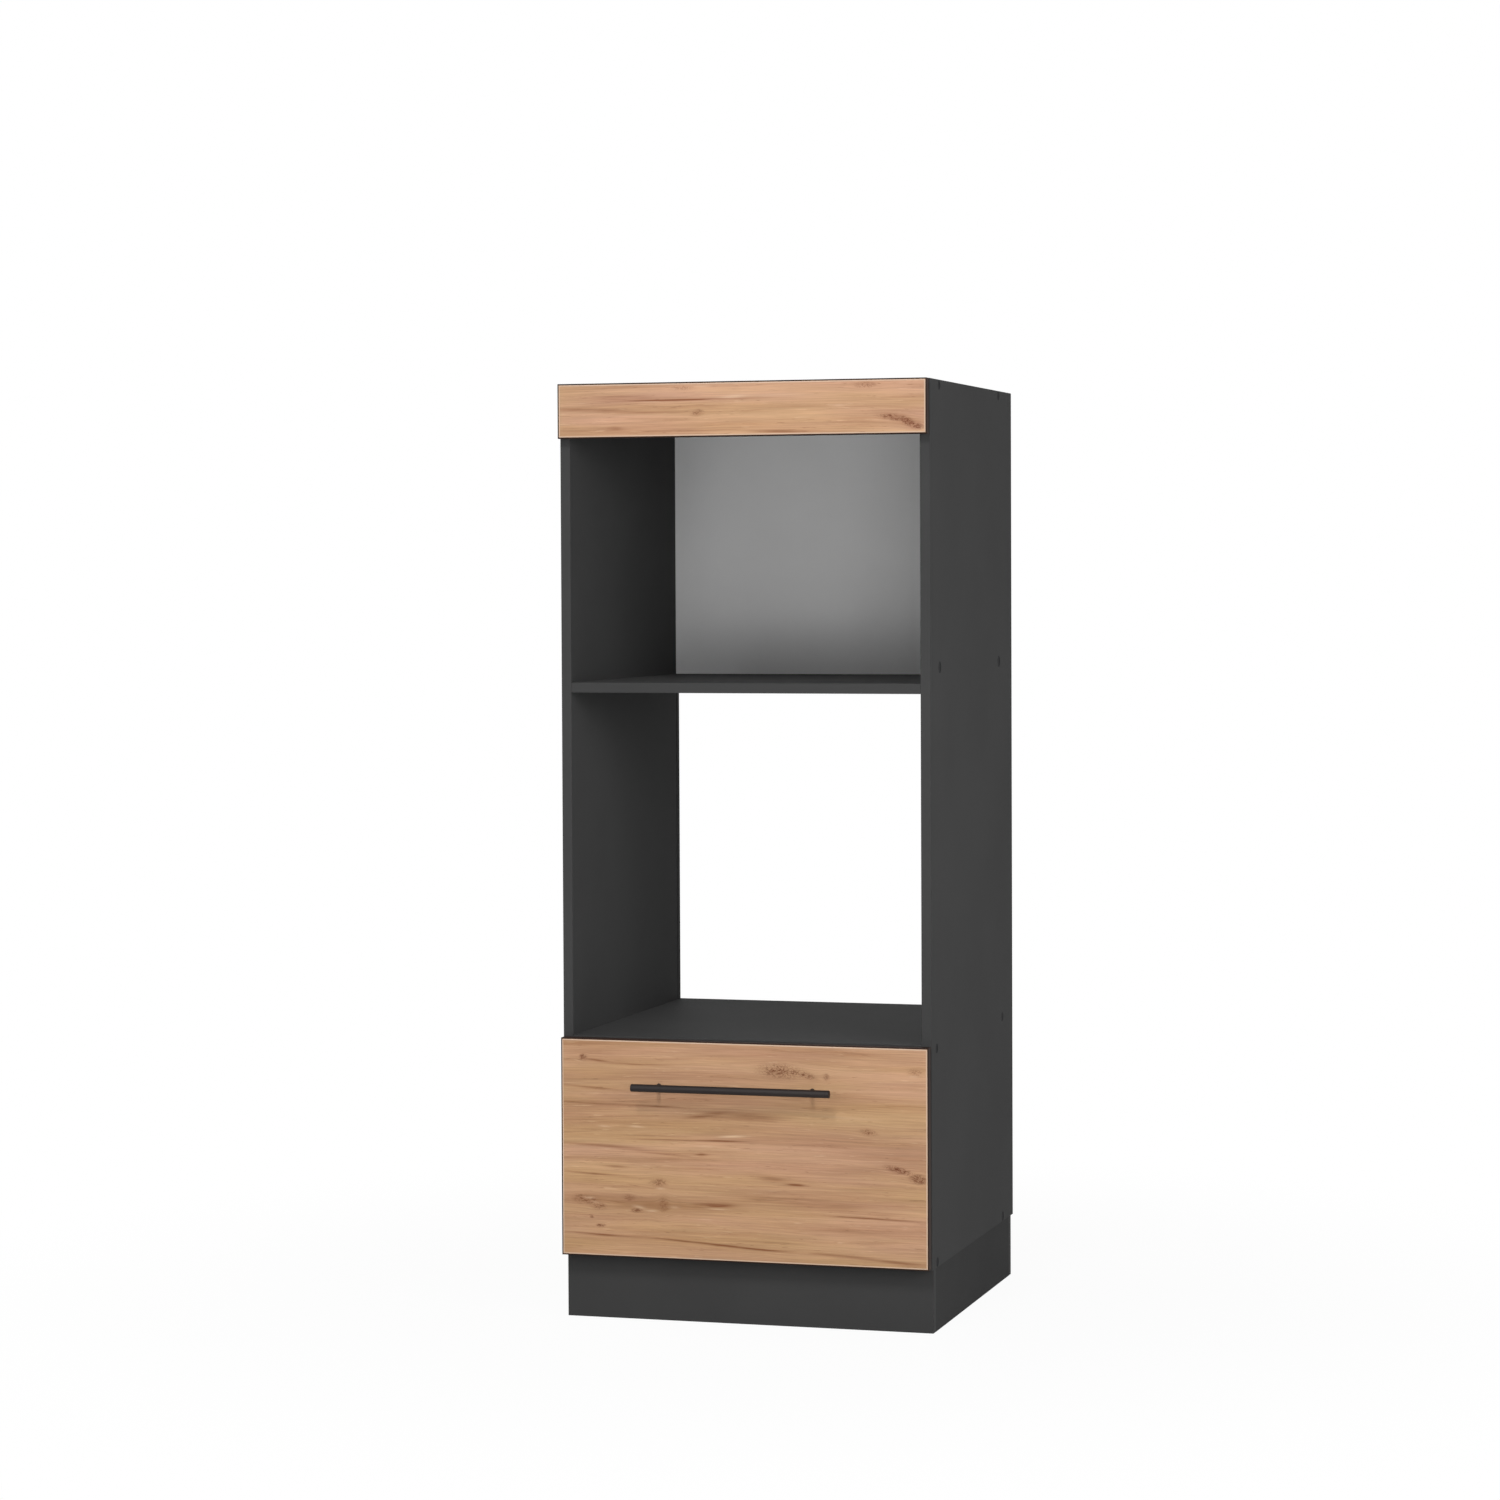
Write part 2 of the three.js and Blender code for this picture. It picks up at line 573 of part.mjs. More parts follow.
function buildRunners(parent, drawer) {
  const runners = addGroup(parent, 'runners');
  for (const [side, direction] of SIDES) {
    const inward = -direction;
    const x = direction * INNER_HALF;
    const outerPlace = [x, RUNNER_SETBACK, RUNNER_Z];
    const middlePlace = [x, RUNNER_SETBACK + RUNNER_MIDDLE_SHORTER / 2, RUNNER_Z];
    const innerPlace = [x, FRONT_BACK_FACE + RUNNER_SETBACK, RUNNER_Z];
    addMesh(runners, `runner_outer_${side}`,
      channelGeometry(0, inward * OUTER_LIP, OUTER_HALF_HEIGHT, RUNNER_LENGTH), zincSteel(), outerPlace);
    addMesh(runners, `runner_middle_${side}`,
      channelGeometry(inward * MIDDLE_WEB, inward * OUTER_LIP, MIDDLE_HALF_HEIGHT,
        RUNNER_LENGTH - RUNNER_MIDDLE_SHORTER), zincSteel(), middlePlace);
    addMesh(drawer, `runner_inner_${side}`,
      channelGeometry(inward * RUNNER_SPACE, inward * INNER_LIP, INNER_HALF_HEIGHT,
        DRAWER_BOX_DEPTH - RUNNER_SETBACK), zincSteel(), innerPlace);
  }
}

// ---------------------------------------------------------------- drawer

const DRAWER_HALF = INNER_HALF - RUNNER_SPACE;
const DRAWER_INNER_HALF = DRAWER_HALF - DRAWER_BOARD;
const DRAWER_BOX_TOP = HANDLE_HEIGHT - HANDLE_SCREW_HEAD / 2 - DRAWER_TOP_CLEARANCE;
const FRONT_SCREW_X = DRAWER_INNER_HALF - FRONT_SCREW_INSET;
const FRONT_SCREW_Z = (DRAWER_BOX_BOTTOM + DRAWER_BOX_TOP) / 2;
const POST_HALF_SPACING = HANDLE_LENGTH / 2 - HANDLE_POST_INSET;
const HANDLE_POSTS = [
  ['left', HANDLE_OFFSET - POST_HALF_SPACING],
  ['right', HANDLE_OFFSET + POST_HALF_SPACING],
];

// One groove round the inside of the box holds the bottom.
function bottomGroove() {
  const reach = DRAWER_GROOVE_DEPTH;
  const z0 = DRAWER_BOX_BOTTOM + DRAWER_BOTTOM_LIFT;
  return blockCutter([-DRAWER_INNER_HALF - reach, DRAWER_INNER_HALF + reach],
    [FRONT_BACK_FACE + DRAWER_BOARD - reach, DRAWER_BOX_REAR - DRAWER_BOARD + reach],
    [z0 - GROOVE_SIDE_GAP, z0 + DRAWER_BOTTOM + GROOVE_SIDE_GAP]);
}

// Each screw's hole runs through the box's front board, with a countersink, into the drawer front.
function frontScrewHoles() {
  const boxInside = FRONT_BACK_FACE + DRAWER_BOARD;
  const sinkFloor = boxInside - FRONT_SCREW_HEAD_HEIGHT - FIT_GAP;
  const holeEnd = FRONT_BACK_FACE - FRONT_SCREW_BITE - FIT_GAP;
  return SIDES.flatMap(([, direction]) => {
    const place = { x: direction * FRONT_SCREW_X, z: FRONT_SCREW_Z };
    return [
      roundCutter('y', FRONT_SCREW_HEAD + 2 * FIT_GAP, sinkFloor, boxInside + DRAWER_BOARD, place),
      roundCutter('y', FRONT_SCREW + 2 * FIT_GAP, holeEnd, boxInside + DRAWER_BOARD, place),
    ];
  });
}

function frontScrewGeometry() {
  const shank = FRONT_SCREW / 2;
  const head = FRONT_SCREW_HEAD / 2;
  const length = DRAWER_BOARD + FRONT_SCREW_BITE;
  return turned([
    [0, -length],
    [shank, -length + FRONT_SCREW],
    [shank, -FRONT_SCREW_HEAD_HEIGHT],
    [head, -FRONT_SCREW_RIM],
    [head, 0],
    [0, 0],
  ], ROUND_SIDES);
}

function buildDrawerBox(drawer) {
  const height = [DRAWER_BOX_BOTTOM, DRAWER_BOX_TOP];
  const depth = [FRONT_BACK_FACE, DRAWER_BOX_REAR];
  const between = [-DRAWER_INNER_HALF, DRAWER_INNER_HALF];
  addBoard(drawer, 'drawer_side_left', [-DRAWER_HALF, -DRAWER_INNER_HALF], depth, height, drawerBoard(),
    [bottomGroove()]);
  addBoard(drawer, 'drawer_side_right', [DRAWER_INNER_HALF, DRAWER_HALF], depth, height, drawerBoard(),
    [bottomGroove()]);
  addBoard(drawer, 'drawer_box_front', between, [depth[0], depth[0] + DRAWER_BOARD], height, drawerBoard(),
    [bottomGroove(), ...frontScrewHoles()]);
  addBoard(drawer, 'drawer_box_back', between, [depth[1] - DRAWER_BOARD, depth[1]], height, drawerBoard(),
    [bottomGroove()]);
  const tongue = DRAWER_GROOVE_DEPTH - BACK_END_GAP;
  const bottomZ = DRAWER_BOX_BOTTOM + DRAWER_BOTTOM_LIFT;
  addBoard(drawer, 'drawer_bottom', [-DRAWER_INNER_HALF - tongue, DRAWER_INNER_HALF + tongue],
    [depth[0] + DRAWER_BOARD - tongue, depth[1] - DRAWER_BOARD + tongue],
    [bottomZ, bottomZ + DRAWER_BOTTOM], backBoard(), [], THIN_ARRIS);
}

function buildDrawerFront(drawer) {
  const handleHoles = HANDLE_POSTS.map(([, x]) =>
    roundCutter('y', HANDLE_SCREW + 2 * FIT_GAP, FRONT_FACE - BOARD, FRONT_BACK_FACE + BOARD,
      { x, z: HANDLE_HEIGHT }));
  addBoard(drawer, 'drawer_front', [-FRONT_HALF, FRONT_HALF], [FRONT_FACE, FRONT_BACK_FACE],
    [FRONT_BOTTOM, FRONT_TOP], oakBoard(), [...handleHoles, ...frontScrewHoles()]);
  const thickness = BUMPER_GAP - BUMPER_SQUEEZE;
  const radius = BUMPER_DIAMETER / 2;
  const padZ = FRONT_TOP - BUMPER_CORNER_INSET;
  for (const [side, direction] of SIDES) {
    const pad = new THREE.CylinderGeometry(radius, radius, thickness, ROUND_SIDES);
    addMesh(drawer, `bumper_pad_${side}`, pad, clearPlastic(),
      [direction * (INNER_HALF + BOARD / 2), FRONT_BACK_FACE + thickness / 2, padZ]);
    addMesh(drawer, `front_screw_${side}`, frontScrewGeometry(), zincSteel(),
      [direction * FRONT_SCREW_X, FRONT_BACK_FACE + DRAWER_BOARD, FRONT_SCREW_Z]);
  }
}

// ---------------------------------------------------------------- handle

// The bar has blind holes in its back for the posts' ends.
function barGeometry() {
  const radius = HANDLE_BAR / 2;
  const half = HANDLE_LENGTH / 2;
  const bar = turned([
    [0, -half],
    [radius - HANDLE_ARRIS, -half],
    [radius, -half + HANDLE_ARRIS],
    [radius, half - HANDLE_ARRIS],
    [radius - HANDLE_ARRIS, half],
    [0, half],
  ], BAR_SIDES);
  bar.rotateZ(Math.PI / 2);
  return cut(bar, HANDLE_POSTS.map(([, x]) =>
    roundCutter('y', HANDLE_POST + 2 * FIT_GAP, 0, HANDLE_BAR, { x: x - HANDLE_OFFSET })));
}

// A post runs from the front's face into the bar, with a tapped hole for its screw.
function postGeometry() {
  const radius = HANDLE_POST / 2;
  const tapped = HANDLE_SCREW / 2 + FIT_GAP;
  const length = HANDLE_STANDOFF - FIT_GAP;
  return turned([
    [0, -length],
    [radius, -length],
    [radius, 0],
    [tapped, 0],
    [tapped, -HANDLE_SCREW_BITE - FIT_GAP],
    [0, -HANDLE_SCREW_BITE - FIT_GAP],
  ], ROUND_SIDES);
}

function handleScrewGeometry() {
  const shank = HANDLE_SCREW / 2;
  const head = HANDLE_SCREW_HEAD / 2;
  const reach = FRONT_BOARD + HANDLE_SCREW_BITE;
  return turned([
    [0, -reach],
    [shank, -reach],
    [shank, 0],
    [head, 0],
    [head, HANDLE_SCREW_HEAD_HEIGHT / 2],
    [head - HANDLE_SCREW_HEAD_TAPER, HANDLE_SCREW_HEAD_HEIGHT],
    [0, HANDLE_SCREW_HEAD_HEIGHT],
  ], ROUND_SIDES);
}

function buildHandle(drawer) {
  const handle = addGroup(drawer, 'handle');
  addMesh(handle, 'handle_bar', barGeometry(), handleMetal(), [HANDLE_OFFSET, HANDLE_AXIS, HANDLE_HEIGHT]);
  for (const [side, x] of HANDLE_POSTS) {
    addMesh(handle, `handle_post_${side}`, postGeometry(), handleMetal(), [x, FRONT_FACE, HANDLE_HEIGHT]);
    addMesh(handle, `handle_screw_${side}`, handleScrewGeometry(), zincSteel(),
      [x, FRONT_BACK_FACE, HANDLE_HEIGHT]);
  }
}

// ---------------------------------------------------------------- the cabinet

const cabinet = new THREE.Group();
cabinet.name = 'microwave_cabinet';
cabinet.position.y = -DEPTH_CENTRE;

buildCarcass(cabinet);
buildPlinth(cabinet);
buildFascia(cabinet);
buildFittings(cabinet);
const drawer = addGroup(cabinet, 'drawer');
buildDrawerFront(drawer);
buildDrawerBox(drawer);
buildHandle(drawer);
buildRunners(cabinet, drawer);

export default cabinet;
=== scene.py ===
# %% [markdown]
# # A tall kitchen cabinet for a microwave and an oven
# The cabinet stands 1478 mm high on a recessed plinth. From the floor up it has one deep drawer with an
# oak front, an open niche for an oven, a shelf, a niche for a microwave with a back, and an oak fascia.
# Its solids, sizes and joints are already made and are loaded here as a fixed frame. This notebook gives
# each piece its finished surface: it rebuilds the boards with their edge bands and rounded arrises, adds the
# small caps over the screws, and writes every finish as shader nodes.

import json
import math

import bmesh
import bpy
from mathutils import Matrix, Vector


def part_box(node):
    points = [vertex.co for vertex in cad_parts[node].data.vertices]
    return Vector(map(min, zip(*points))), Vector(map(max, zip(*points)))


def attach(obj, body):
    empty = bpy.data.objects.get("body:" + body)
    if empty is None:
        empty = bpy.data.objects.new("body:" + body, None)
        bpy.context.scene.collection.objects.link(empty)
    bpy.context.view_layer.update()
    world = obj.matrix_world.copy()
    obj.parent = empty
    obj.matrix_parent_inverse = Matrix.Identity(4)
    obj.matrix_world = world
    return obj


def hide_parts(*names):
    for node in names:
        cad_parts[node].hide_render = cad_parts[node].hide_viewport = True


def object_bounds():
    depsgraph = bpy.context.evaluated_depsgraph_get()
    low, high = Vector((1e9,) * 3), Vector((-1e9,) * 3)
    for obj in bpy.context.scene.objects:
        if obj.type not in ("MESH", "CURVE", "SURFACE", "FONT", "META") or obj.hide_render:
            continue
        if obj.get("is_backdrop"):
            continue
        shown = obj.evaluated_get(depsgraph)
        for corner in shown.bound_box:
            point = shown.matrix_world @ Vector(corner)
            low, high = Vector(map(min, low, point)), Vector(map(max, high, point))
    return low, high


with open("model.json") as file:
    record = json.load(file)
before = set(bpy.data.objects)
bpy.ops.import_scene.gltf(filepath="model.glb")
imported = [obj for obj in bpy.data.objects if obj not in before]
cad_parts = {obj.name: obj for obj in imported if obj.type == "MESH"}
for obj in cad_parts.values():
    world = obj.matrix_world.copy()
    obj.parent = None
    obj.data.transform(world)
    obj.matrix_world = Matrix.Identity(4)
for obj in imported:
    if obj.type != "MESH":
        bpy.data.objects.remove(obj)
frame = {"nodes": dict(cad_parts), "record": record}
cad_low, cad_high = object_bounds()
NODES = frame["nodes"]
BODY_OF = {node: body for body, names in frame["record"]["behaviour"]["bodies"].items() for node in names}
MM = 0.001

# %% [markdown]
# ## The camera
# The view was solved from measured edges by a fit: the lens is long, the camera stands to
# the right at about shoulder height, and the frame is shifted down by a thirtieth of its width. A shift
# moves the picture without tilting the verticals, as a view camera does. The turn is built from yaw, pitch
# and roll by hand, because that keeps each number's meaning plain.

# %% Camera
PICTURE = 1500
SENSOR = 36.0
FOCAL_PIXELS = 3988.0
YAW, PITCH, ROLL = (math.radians(angle) for angle in (16.364, -1.807, -0.2545))
CAMERA_PLACE = Vector((1.7616, -6.2218, 1.1778))
AXIS_ABOVE_MIDDLE = 50

forward = Vector((-math.sin(YAW) * math.cos(PITCH), math.cos(YAW) * math.cos(PITCH), math.sin(PITCH)))
level = Vector((math.cos(YAW), math.sin(YAW), 0.0))
upright = level.cross(forward)
right = math.cos(ROLL) * level + math.sin(ROLL) * upright
up = -math.sin(ROLL) * level + math.cos(ROLL) * upright

camera_data = bpy.data.cameras.new("camera")
camera_data.sensor_width = SENSOR
camera_data.lens = FOCAL_PIXELS * SENSOR / PICTURE
camera_data.shift_y = -AXIS_ABOVE_MIDDLE / PICTURE
camera = bpy.data.objects.new("camera", camera_data)
camera.matrix_world = Matrix.Translation(CAMERA_PLACE) @ Matrix((right, up, -forward)).transposed().to_4x4()
bpy.context.scene.collection.objects.link(camera)
bpy.context.scene.camera = camera
bpy.context.scene.view_settings.view_transform = "Standard"
print("lens", round(camera_data.lens, 1), "mm, shift", round(camera_data.shift_y, 4))

# %% [markdown]
# ## Helpers for node trees
# Every finish here is a tree of shader nodes, and the repeated buttons are a tree of geometry nodes. A few
# short helpers keep those trees readable: they add a node and fill its inputs, do arithmetic, mix values and
# colours, make noise that is longer along one axis, and open a node group with named sockets. A group is
# built once and placed in many materials.

# %% Node helpers
def feed(tree, sockets, values):
    """Fills or links input sockets, given by name or number."""
    for key, value in values.items():
        if isinstance(value, bpy.types.NodeSocket):
            tree.links.new(value, sockets[key])
        else:
            sockets[key].default_value = value


def add(tree, kind, inputs=None, **options):
    """Adds a node, sets its options, then fills or links its inputs."""
    node = tree.nodes.new(kind)
    for option, value in options.items():
        setattr(node, option, value)
    feed(tree, node.inputs, inputs or {})
    return node


def calc(tree, operation, *values, clamp=False):
    """The result of one math node."""
    inputs = dict(enumerate(values))
    return add(tree, "ShaderNodeMath", inputs, operation=operation, use_clamp=clamp).outputs[0]


def times(tree, first, second, clamp=False):
    """Two values multiplied."""
    return calc(tree, "MULTIPLY", first, second, clamp=clamp)


def blend(tree, first, second, share):
    """One value out of two, with this share of the second."""
    return calc(tree, "MULTIPLY_ADD", second, share, times(tree, first, 1.0 - share))


def remap(tree, value, low, high, to_low=0.0, to_high=1.0):
    """Value between low and high becomes a smooth step between to_low and to_high."""
    inputs = {"Value": value, "From Min": low, "From Max": high, "To Min": to_low, "To Max": to_high}
    return add(tree, "ShaderNodeMapRange", inputs, interpolation_type="SMOOTHSTEP").outputs[0]


def mix(tree, share, first, second, mode="MIX"):
    """Two colours mixed by a share from 0 to 1."""
    node = add(tree, "ShaderNodeMix", {0: share, 6: first, 7: second}, data_type="RGBA", blend_type=mode)
    return node.outputs[2]


def lay_over(tree, under, mask, strength, over):
    """One colour laid over another where the mask is 1, at a strength."""
    return mix(tree, times(tree, mask, strength), under, over)


def noise(tree, place, scale, detail=3.0, roughness=0.5, warp=0.0):
    """Soft random values from 0 to 1, at a number of patches for each metre."""
    inputs = {"Vector": place, "Scale": scale, "Detail": detail, "Roughness": roughness, "Distortion": warp}
    return add(tree, "ShaderNodeTexNoise", inputs).outputs[0]


def stretch(tree, place, x, y, z):
    """The place with each axis multiplied, so that a pattern is longer along one axis."""
    return add(tree, "ShaderNodeVectorMath", {0: place, 1: (x, y, z)}, operation="MULTIPLY").outputs[0]


def grain(tree, place, patches, detail=3.0, roughness=0.5, warp=0.0):
    """Noise with its own number of patches for each metre along x, y and z."""
    return noise(tree, stretch(tree, place, *patches), 1.0, detail, roughness, warp)


def new_group(kind, name, inputs, outputs):
    """An empty node group with named sockets, and its input and output sockets."""
    group = bpy.data.node_groups.new(name, kind)
    for label, socket_type, value in inputs:
        socket = group.interface.new_socket(label, in_out="INPUT", socket_type=socket_type)
        if value is not None:
            socket.default_value = value
    for label, socket_type in outputs:
        group.interface.new_socket(label, in_out="OUTPUT", socket_type=socket_type)
    return group, group.nodes.new("NodeGroupInput").outputs, group.nodes.new("NodeGroupOutput").inputs


def place_group(tree, group, **inputs):
    """The outputs of one use of a shader group, with inputs given by name; _ stands for a space."""
    named = {key.replace("_", " "): value for key, value in inputs.items()}
    return add(tree, "ShaderNodeGroup", named, node_tree=group).outputs


def colour(red, green, blue):
    """A colour given as it looks on screen, 0 to 255, as the linear values that shaders use."""
    def linear(value):
        share = value / 255
        return share / 12.92 if share <= 0.04045 else ((share + 0.055) / 1.055) ** 2.4
    return (linear(red), linear(green), linear(blue), 1.0)


FLOAT, VECTOR, COLOUR = "NodeSocketFloat", "NodeSocketVector", "NodeSocketColor"
print("mid grey 128 is", round(colour(128, 128, 128)[0], 3), "in linear light")

# %% [markdown]
# ## Floor and world
# A product picture on pure white still wants a floor that takes the object's soft shadow. The floor here is a
# pale diffuse plane. The camera sees it as mostly plain white with a share of that shaded floor near the
# cabinet, and farther out it is the same white that the world shows behind. The world is brighter for camera
# and mirror rays than for the light it sheds, so that metal shows the white surroundings too.

# %% Floor and world
WHITE = (1.0, 1.0, 1.0, 1.0)
FLOOR_HALF = 40.0
FLOOR_WHITE = 0.65
NEAR_WHITE = 0.95
SHADOW_FROM, SHADOW_TO = 0.5, 1.7
WORLD_LIGHT = 0.24


def seen_directly(tree):
    """1 for rays that come straight from the camera or by a mirror or glass, and 0 for the rest."""
    path = add(tree, "ShaderNodeLightPath").outputs
    mirrored = calc(tree, "MAXIMUM", path["Is Glossy Ray"], path["Is Transmission Ray"])
    return calc(tree, "MAXIMUM", path["Is Camera Ray"], mirrored)


def make_floor():
    mesh = bpy.data.meshes.new("floor")
    corners = [(x * FLOOR_HALF, y * FLOOR_HALF, 0.0) for x, y in ((-1, -1), (1, -1), (1, 1), (-1, 1))]
    mesh.from_pydata(corners, [], [(0, 1, 2, 3)])
    material = bpy.data.materials.new("white_floor")
    material.use_nodes = True
    tree = material.node_tree
    tree.nodes.clear()
    place = add(tree, "ShaderNodeTexCoord").outputs["Object"]
    distance = add(tree, "ShaderNodeVectorMath", {0: place}, operation="LENGTH").outputs["Value"]
    far = remap(tree, distance, SHADOW_FROM, SHADOW_TO, NEAR_WHITE, 1.0)
    share = times(tree, far, seen_directly(tree))
    plain = add(tree, "ShaderNodeBsdfDiffuse", {"Color": (*[FLOOR_WHITE] * 3, 1.0)})
    bright = add(tree, "ShaderNodeEmission", {"Color": WHITE, "Strength": 1.0})
    both = add(tree, "ShaderNodeMixShader", {0: share, 1: plain.outputs[0], 2: bright.outputs[0]})
    add(tree, "ShaderNodeOutputMaterial", {"Surface": both.outputs[0]})
    mesh.materials.append(material)
    floor = bpy.data.objects.new("floor", mesh)
    bpy.context.scene.collection.objects.link(floor)
    return floor


make_floor()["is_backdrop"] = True
world = bpy.data.worlds.new("studio")
bpy.context.scene.world = world
world.use_nodes = True
world_tree = world.node_tree
world_strength = remap(world_tree, seen_directly(world_tree), 0.0, 1.0, WORLD_LIGHT, 1.0)
feed(world_tree, world_tree.nodes["Background"].inputs, {"Color": WHITE, "Strength": world_strength})
print("floor", 2 * FLOOR_HALF, "m wide, world light", WORLD_LIGHT)

# %% [markdown]
# ## Light panels
# Nine soft panels light the cabinet, as in a photo studio. The key hangs high in front and throws the
# handle's shadow down the drawer front. Two stand to the right, on the side that the camera sees. Four small
# fills at the height of the niches reach the floors and the back board, which the key misses. The panels to
# the left and behind light the faces that other views show. The small fills are narrow because a broad one
# would light the inner walls as much as the back. Only the powers of the left and rear panels were simply
# given. The other seven came from a least-squares fit, which weighed the panels so that the light on each
# surface came near the brightness measured in the photo.

# %% Light panels
def panel_light(name, place, target, width, height, power, gloss=True):
    """A rectangular soft light at place, facing target. Without gloss it leaves no highlights."""
    data = bpy.data.lights.new(name, "AREA")
    data.shape = "RECTANGLE"
    data.size, data.size_y = width, height
    data.energy = power
    lamp = bpy.data.objects.new(name, data)
    lamp.visible_glossy = gloss
    lamp.location = place
    lamp.rotation_euler = (Vector(target) - Vector(place)).to_track_quat("-Z", "Y").to_euler()
    bpy.context.scene.collection.objects.link(lamp)


PANELS = [
    # name, place, target, width, height, power in watts, and whether it leaves highlights
    ("key", (0.0, -3.9, 4.5), (0.0, 0.0, 0.9), 0.7, 1.2, 118.0),
    ("right", (3.3, -2.5, 1.8), (0.0, 0.0, 0.9), 2.2, 1.2, 66.0),
    ("right_low", (3.0, -2.9, 0.6), (0.0, 0.0, 0.9), 1.6, 1.2, 12.5),
    ("fill_right", (1.2, -3.0, 0.8), (0.6, 0.0, 0.8), 0.8, 0.6, 12.5),
    ("fill_left", (-0.5, -4.0, 0.45), (-0.5, 0.0, 0.45), 0.8, 0.6, 9.5),
    ("fill_near", (-0.5, -1.8, 0.8), (-0.5, 0.0, 0.8), 0.8, 0.6, 4.7),
    ("fill_high", (0.0, -1.8, 1.6), (0.0, 0.0, 1.2), 1.4, 0.6, 1.8),
    ("left", (-3.9, 0.4, 1.6), (0.0, 0.0, 0.8), 2.0, 2.0, 60.0),
    ("rear", (-1.2, 4.1, 1.1), (0.0, 0.0, 0.8), 2.2, 2.0, 44.0, False),
]
for panel in PANELS:
    panel_light(*panel)
print(len(PANELS), "soft panels, and the world")

# %% [markdown]
# ## Shader groups
# Five effects are shared by several finishes, so each is a group with named inputs.
#
# **Pressed skin** is the fine orange-peel relief of melamine paper, of moulded plastic and of powder coat:
# the same noise at different sizes. **Chipboard** is the raw core that shows where a board is sawn: flakes of
# wood in glue, made from Voronoi cells. **Knot** and **streak** are the marks that make oak look like one
# plank and not like a pattern: a knot pushes the grain lines apart around itself, and a streak is a long soft
# smudge. **Burr** is the scribble of fine cracks inside the knots. These last three return values only, and
# each oak board colours them.

# %% Pressed skin
SOFT_SCALE = 0.31
SOFT_SHARE = 0.4
MOTTLE_SCALE = 3.2


def make_pressed_skin():
    group, given, result = new_group("ShaderNodeTree", "pressed_skin", [
        ("Place", VECTOR, None), ("Grain size", FLOAT, 0.0008)], [
        ("Height", FLOAT), ("Mottle", FLOAT), ("Fine", FLOAT)])
    scale = calc(group, "DIVIDE", 1.0, given["Grain size"])
    fine = noise(group, given["Place"], scale, 2.0, 0.6)
    soft = noise(group, given["Place"], times(group, scale, SOFT_SCALE), 1.0)
    mottle = noise(group, given["Place"], MOTTLE_SCALE, 4.0, 0.55)
    feed(group, result, {"Height": blend(group, fine, soft, SOFT_SHARE), "Mottle": mottle, "Fine": fine})
    return group


PRESSED_SKIN = make_pressed_skin()
print(PRESSED_SKIN.name, [socket.name for socket in PRESSED_SKIN.interface.items_tree])

# %% Chipboard core
CHIP_LIGHT = colour(203, 170, 126)
CHIP_DARK = colour(138, 103, 68)
CHIP_PIT = colour(70, 50, 32)
FLAKE_SCALE = 420.0
CRUMB_SCALE = 1500.0


def make_chipboard():
    group, given, result = new_group("ShaderNodeTree", "chipboard", [
        ("Place", VECTOR, None)], [("Colour", COLOUR), ("Height", FLOAT)])
    flat = stretch(group, given["Place"], 1.0, 0.7, 1.6)
    flakes = add(group, "ShaderNodeTexVoronoi", {"Vector": flat, "Scale": FLAKE_SCALE, "Randomness": 1.0})
    tone = add(group, "ShaderNodeSeparateColor", {0: flakes.outputs["Color"]}).outputs[0]
    pits = remap(group, noise(group, given["Place"], CRUMB_SCALE, 3.0, 0.6), 0.62, 0.72)
    wood = lay_over(group, mix(group, tone, CHIP_DARK, CHIP_LIGHT), pits, 0.6, CHIP_PIT)
    depth = calc(group, "SUBTRACT", times(group, tone, 0.5), pits)
    feed(group, result, {"Colour": wood, "Height": depth})
    return group


CHIPBOARD = make_chipboard()
print(CHIPBOARD.name, "ready")

# %% Knot, streak and burr
MARK_INPUTS = [("Place", VECTOR, None), ("Across", FLOAT, 0.0), ("Height", FLOAT, 0.0),
               ("Length", FLOAT, 0.02), ("Thickness", FLOAT, 0.008), ("Tilt", FLOAT, 0.0)]
KNOT_PUSH = 0.70


def local_offsets(group, given):
    """How far across the grain from a mark's middle, and the squared distance in the mark's own sizes."""
    place = add(group, "ShaderNodeSeparateXYZ", {0: given["Place"]}).outputs
    dx = calc(group, "SUBTRACT", place["X"], given["Across"])
    dz = calc(group, "SUBTRACT", place["Z"], given["Height"])
    cosine = calc(group, "COSINE", given["Tilt"])
    sine = calc(group, "SINE", given["Tilt"])
    along = calc(group, "ADD", times(group, dx, cosine), times(group, dz, sine))
    across = calc(group, "SUBTRACT", times(group, dz, cosine), times(group, dx, sine))
    u = calc(group, "DIVIDE", along, given["Length"])
    v = calc(group, "DIVIDE", across, given["Thickness"])
    return across, calc(group, "ADD", times(group, u, u), times(group, v, v))


def hill(group, distance, steepness):
    """1 at a mark's middle and less farther out."""
    return calc(group, "EXPONENT", times(group, distance, -steepness))


def make_knot():
    outputs = [("Push", FLOAT), ("Mask", FLOAT)]
    group, given, result = new_group("ShaderNodeTree", "knot", MARK_INPUTS, outputs)
    across, square = local_offsets(group, given)
    push = times(group, times(group, across, hill(group, square, 0.45)), -KNOT_PUSH)
    feed(group, result, {"Push": push, "Mask": hill(group, calc(group, "POWER", square, 1.5), 1.1)})
    return group


def make_streak():
    group, given, result = new_group("ShaderNodeTree", "streak", MARK_INPUTS, [("Mask", FLOAT)])
    _, square = local_offsets(group, given)
    feed(group, result, {"Mask": hill(group, square, 1.0)})
    return group


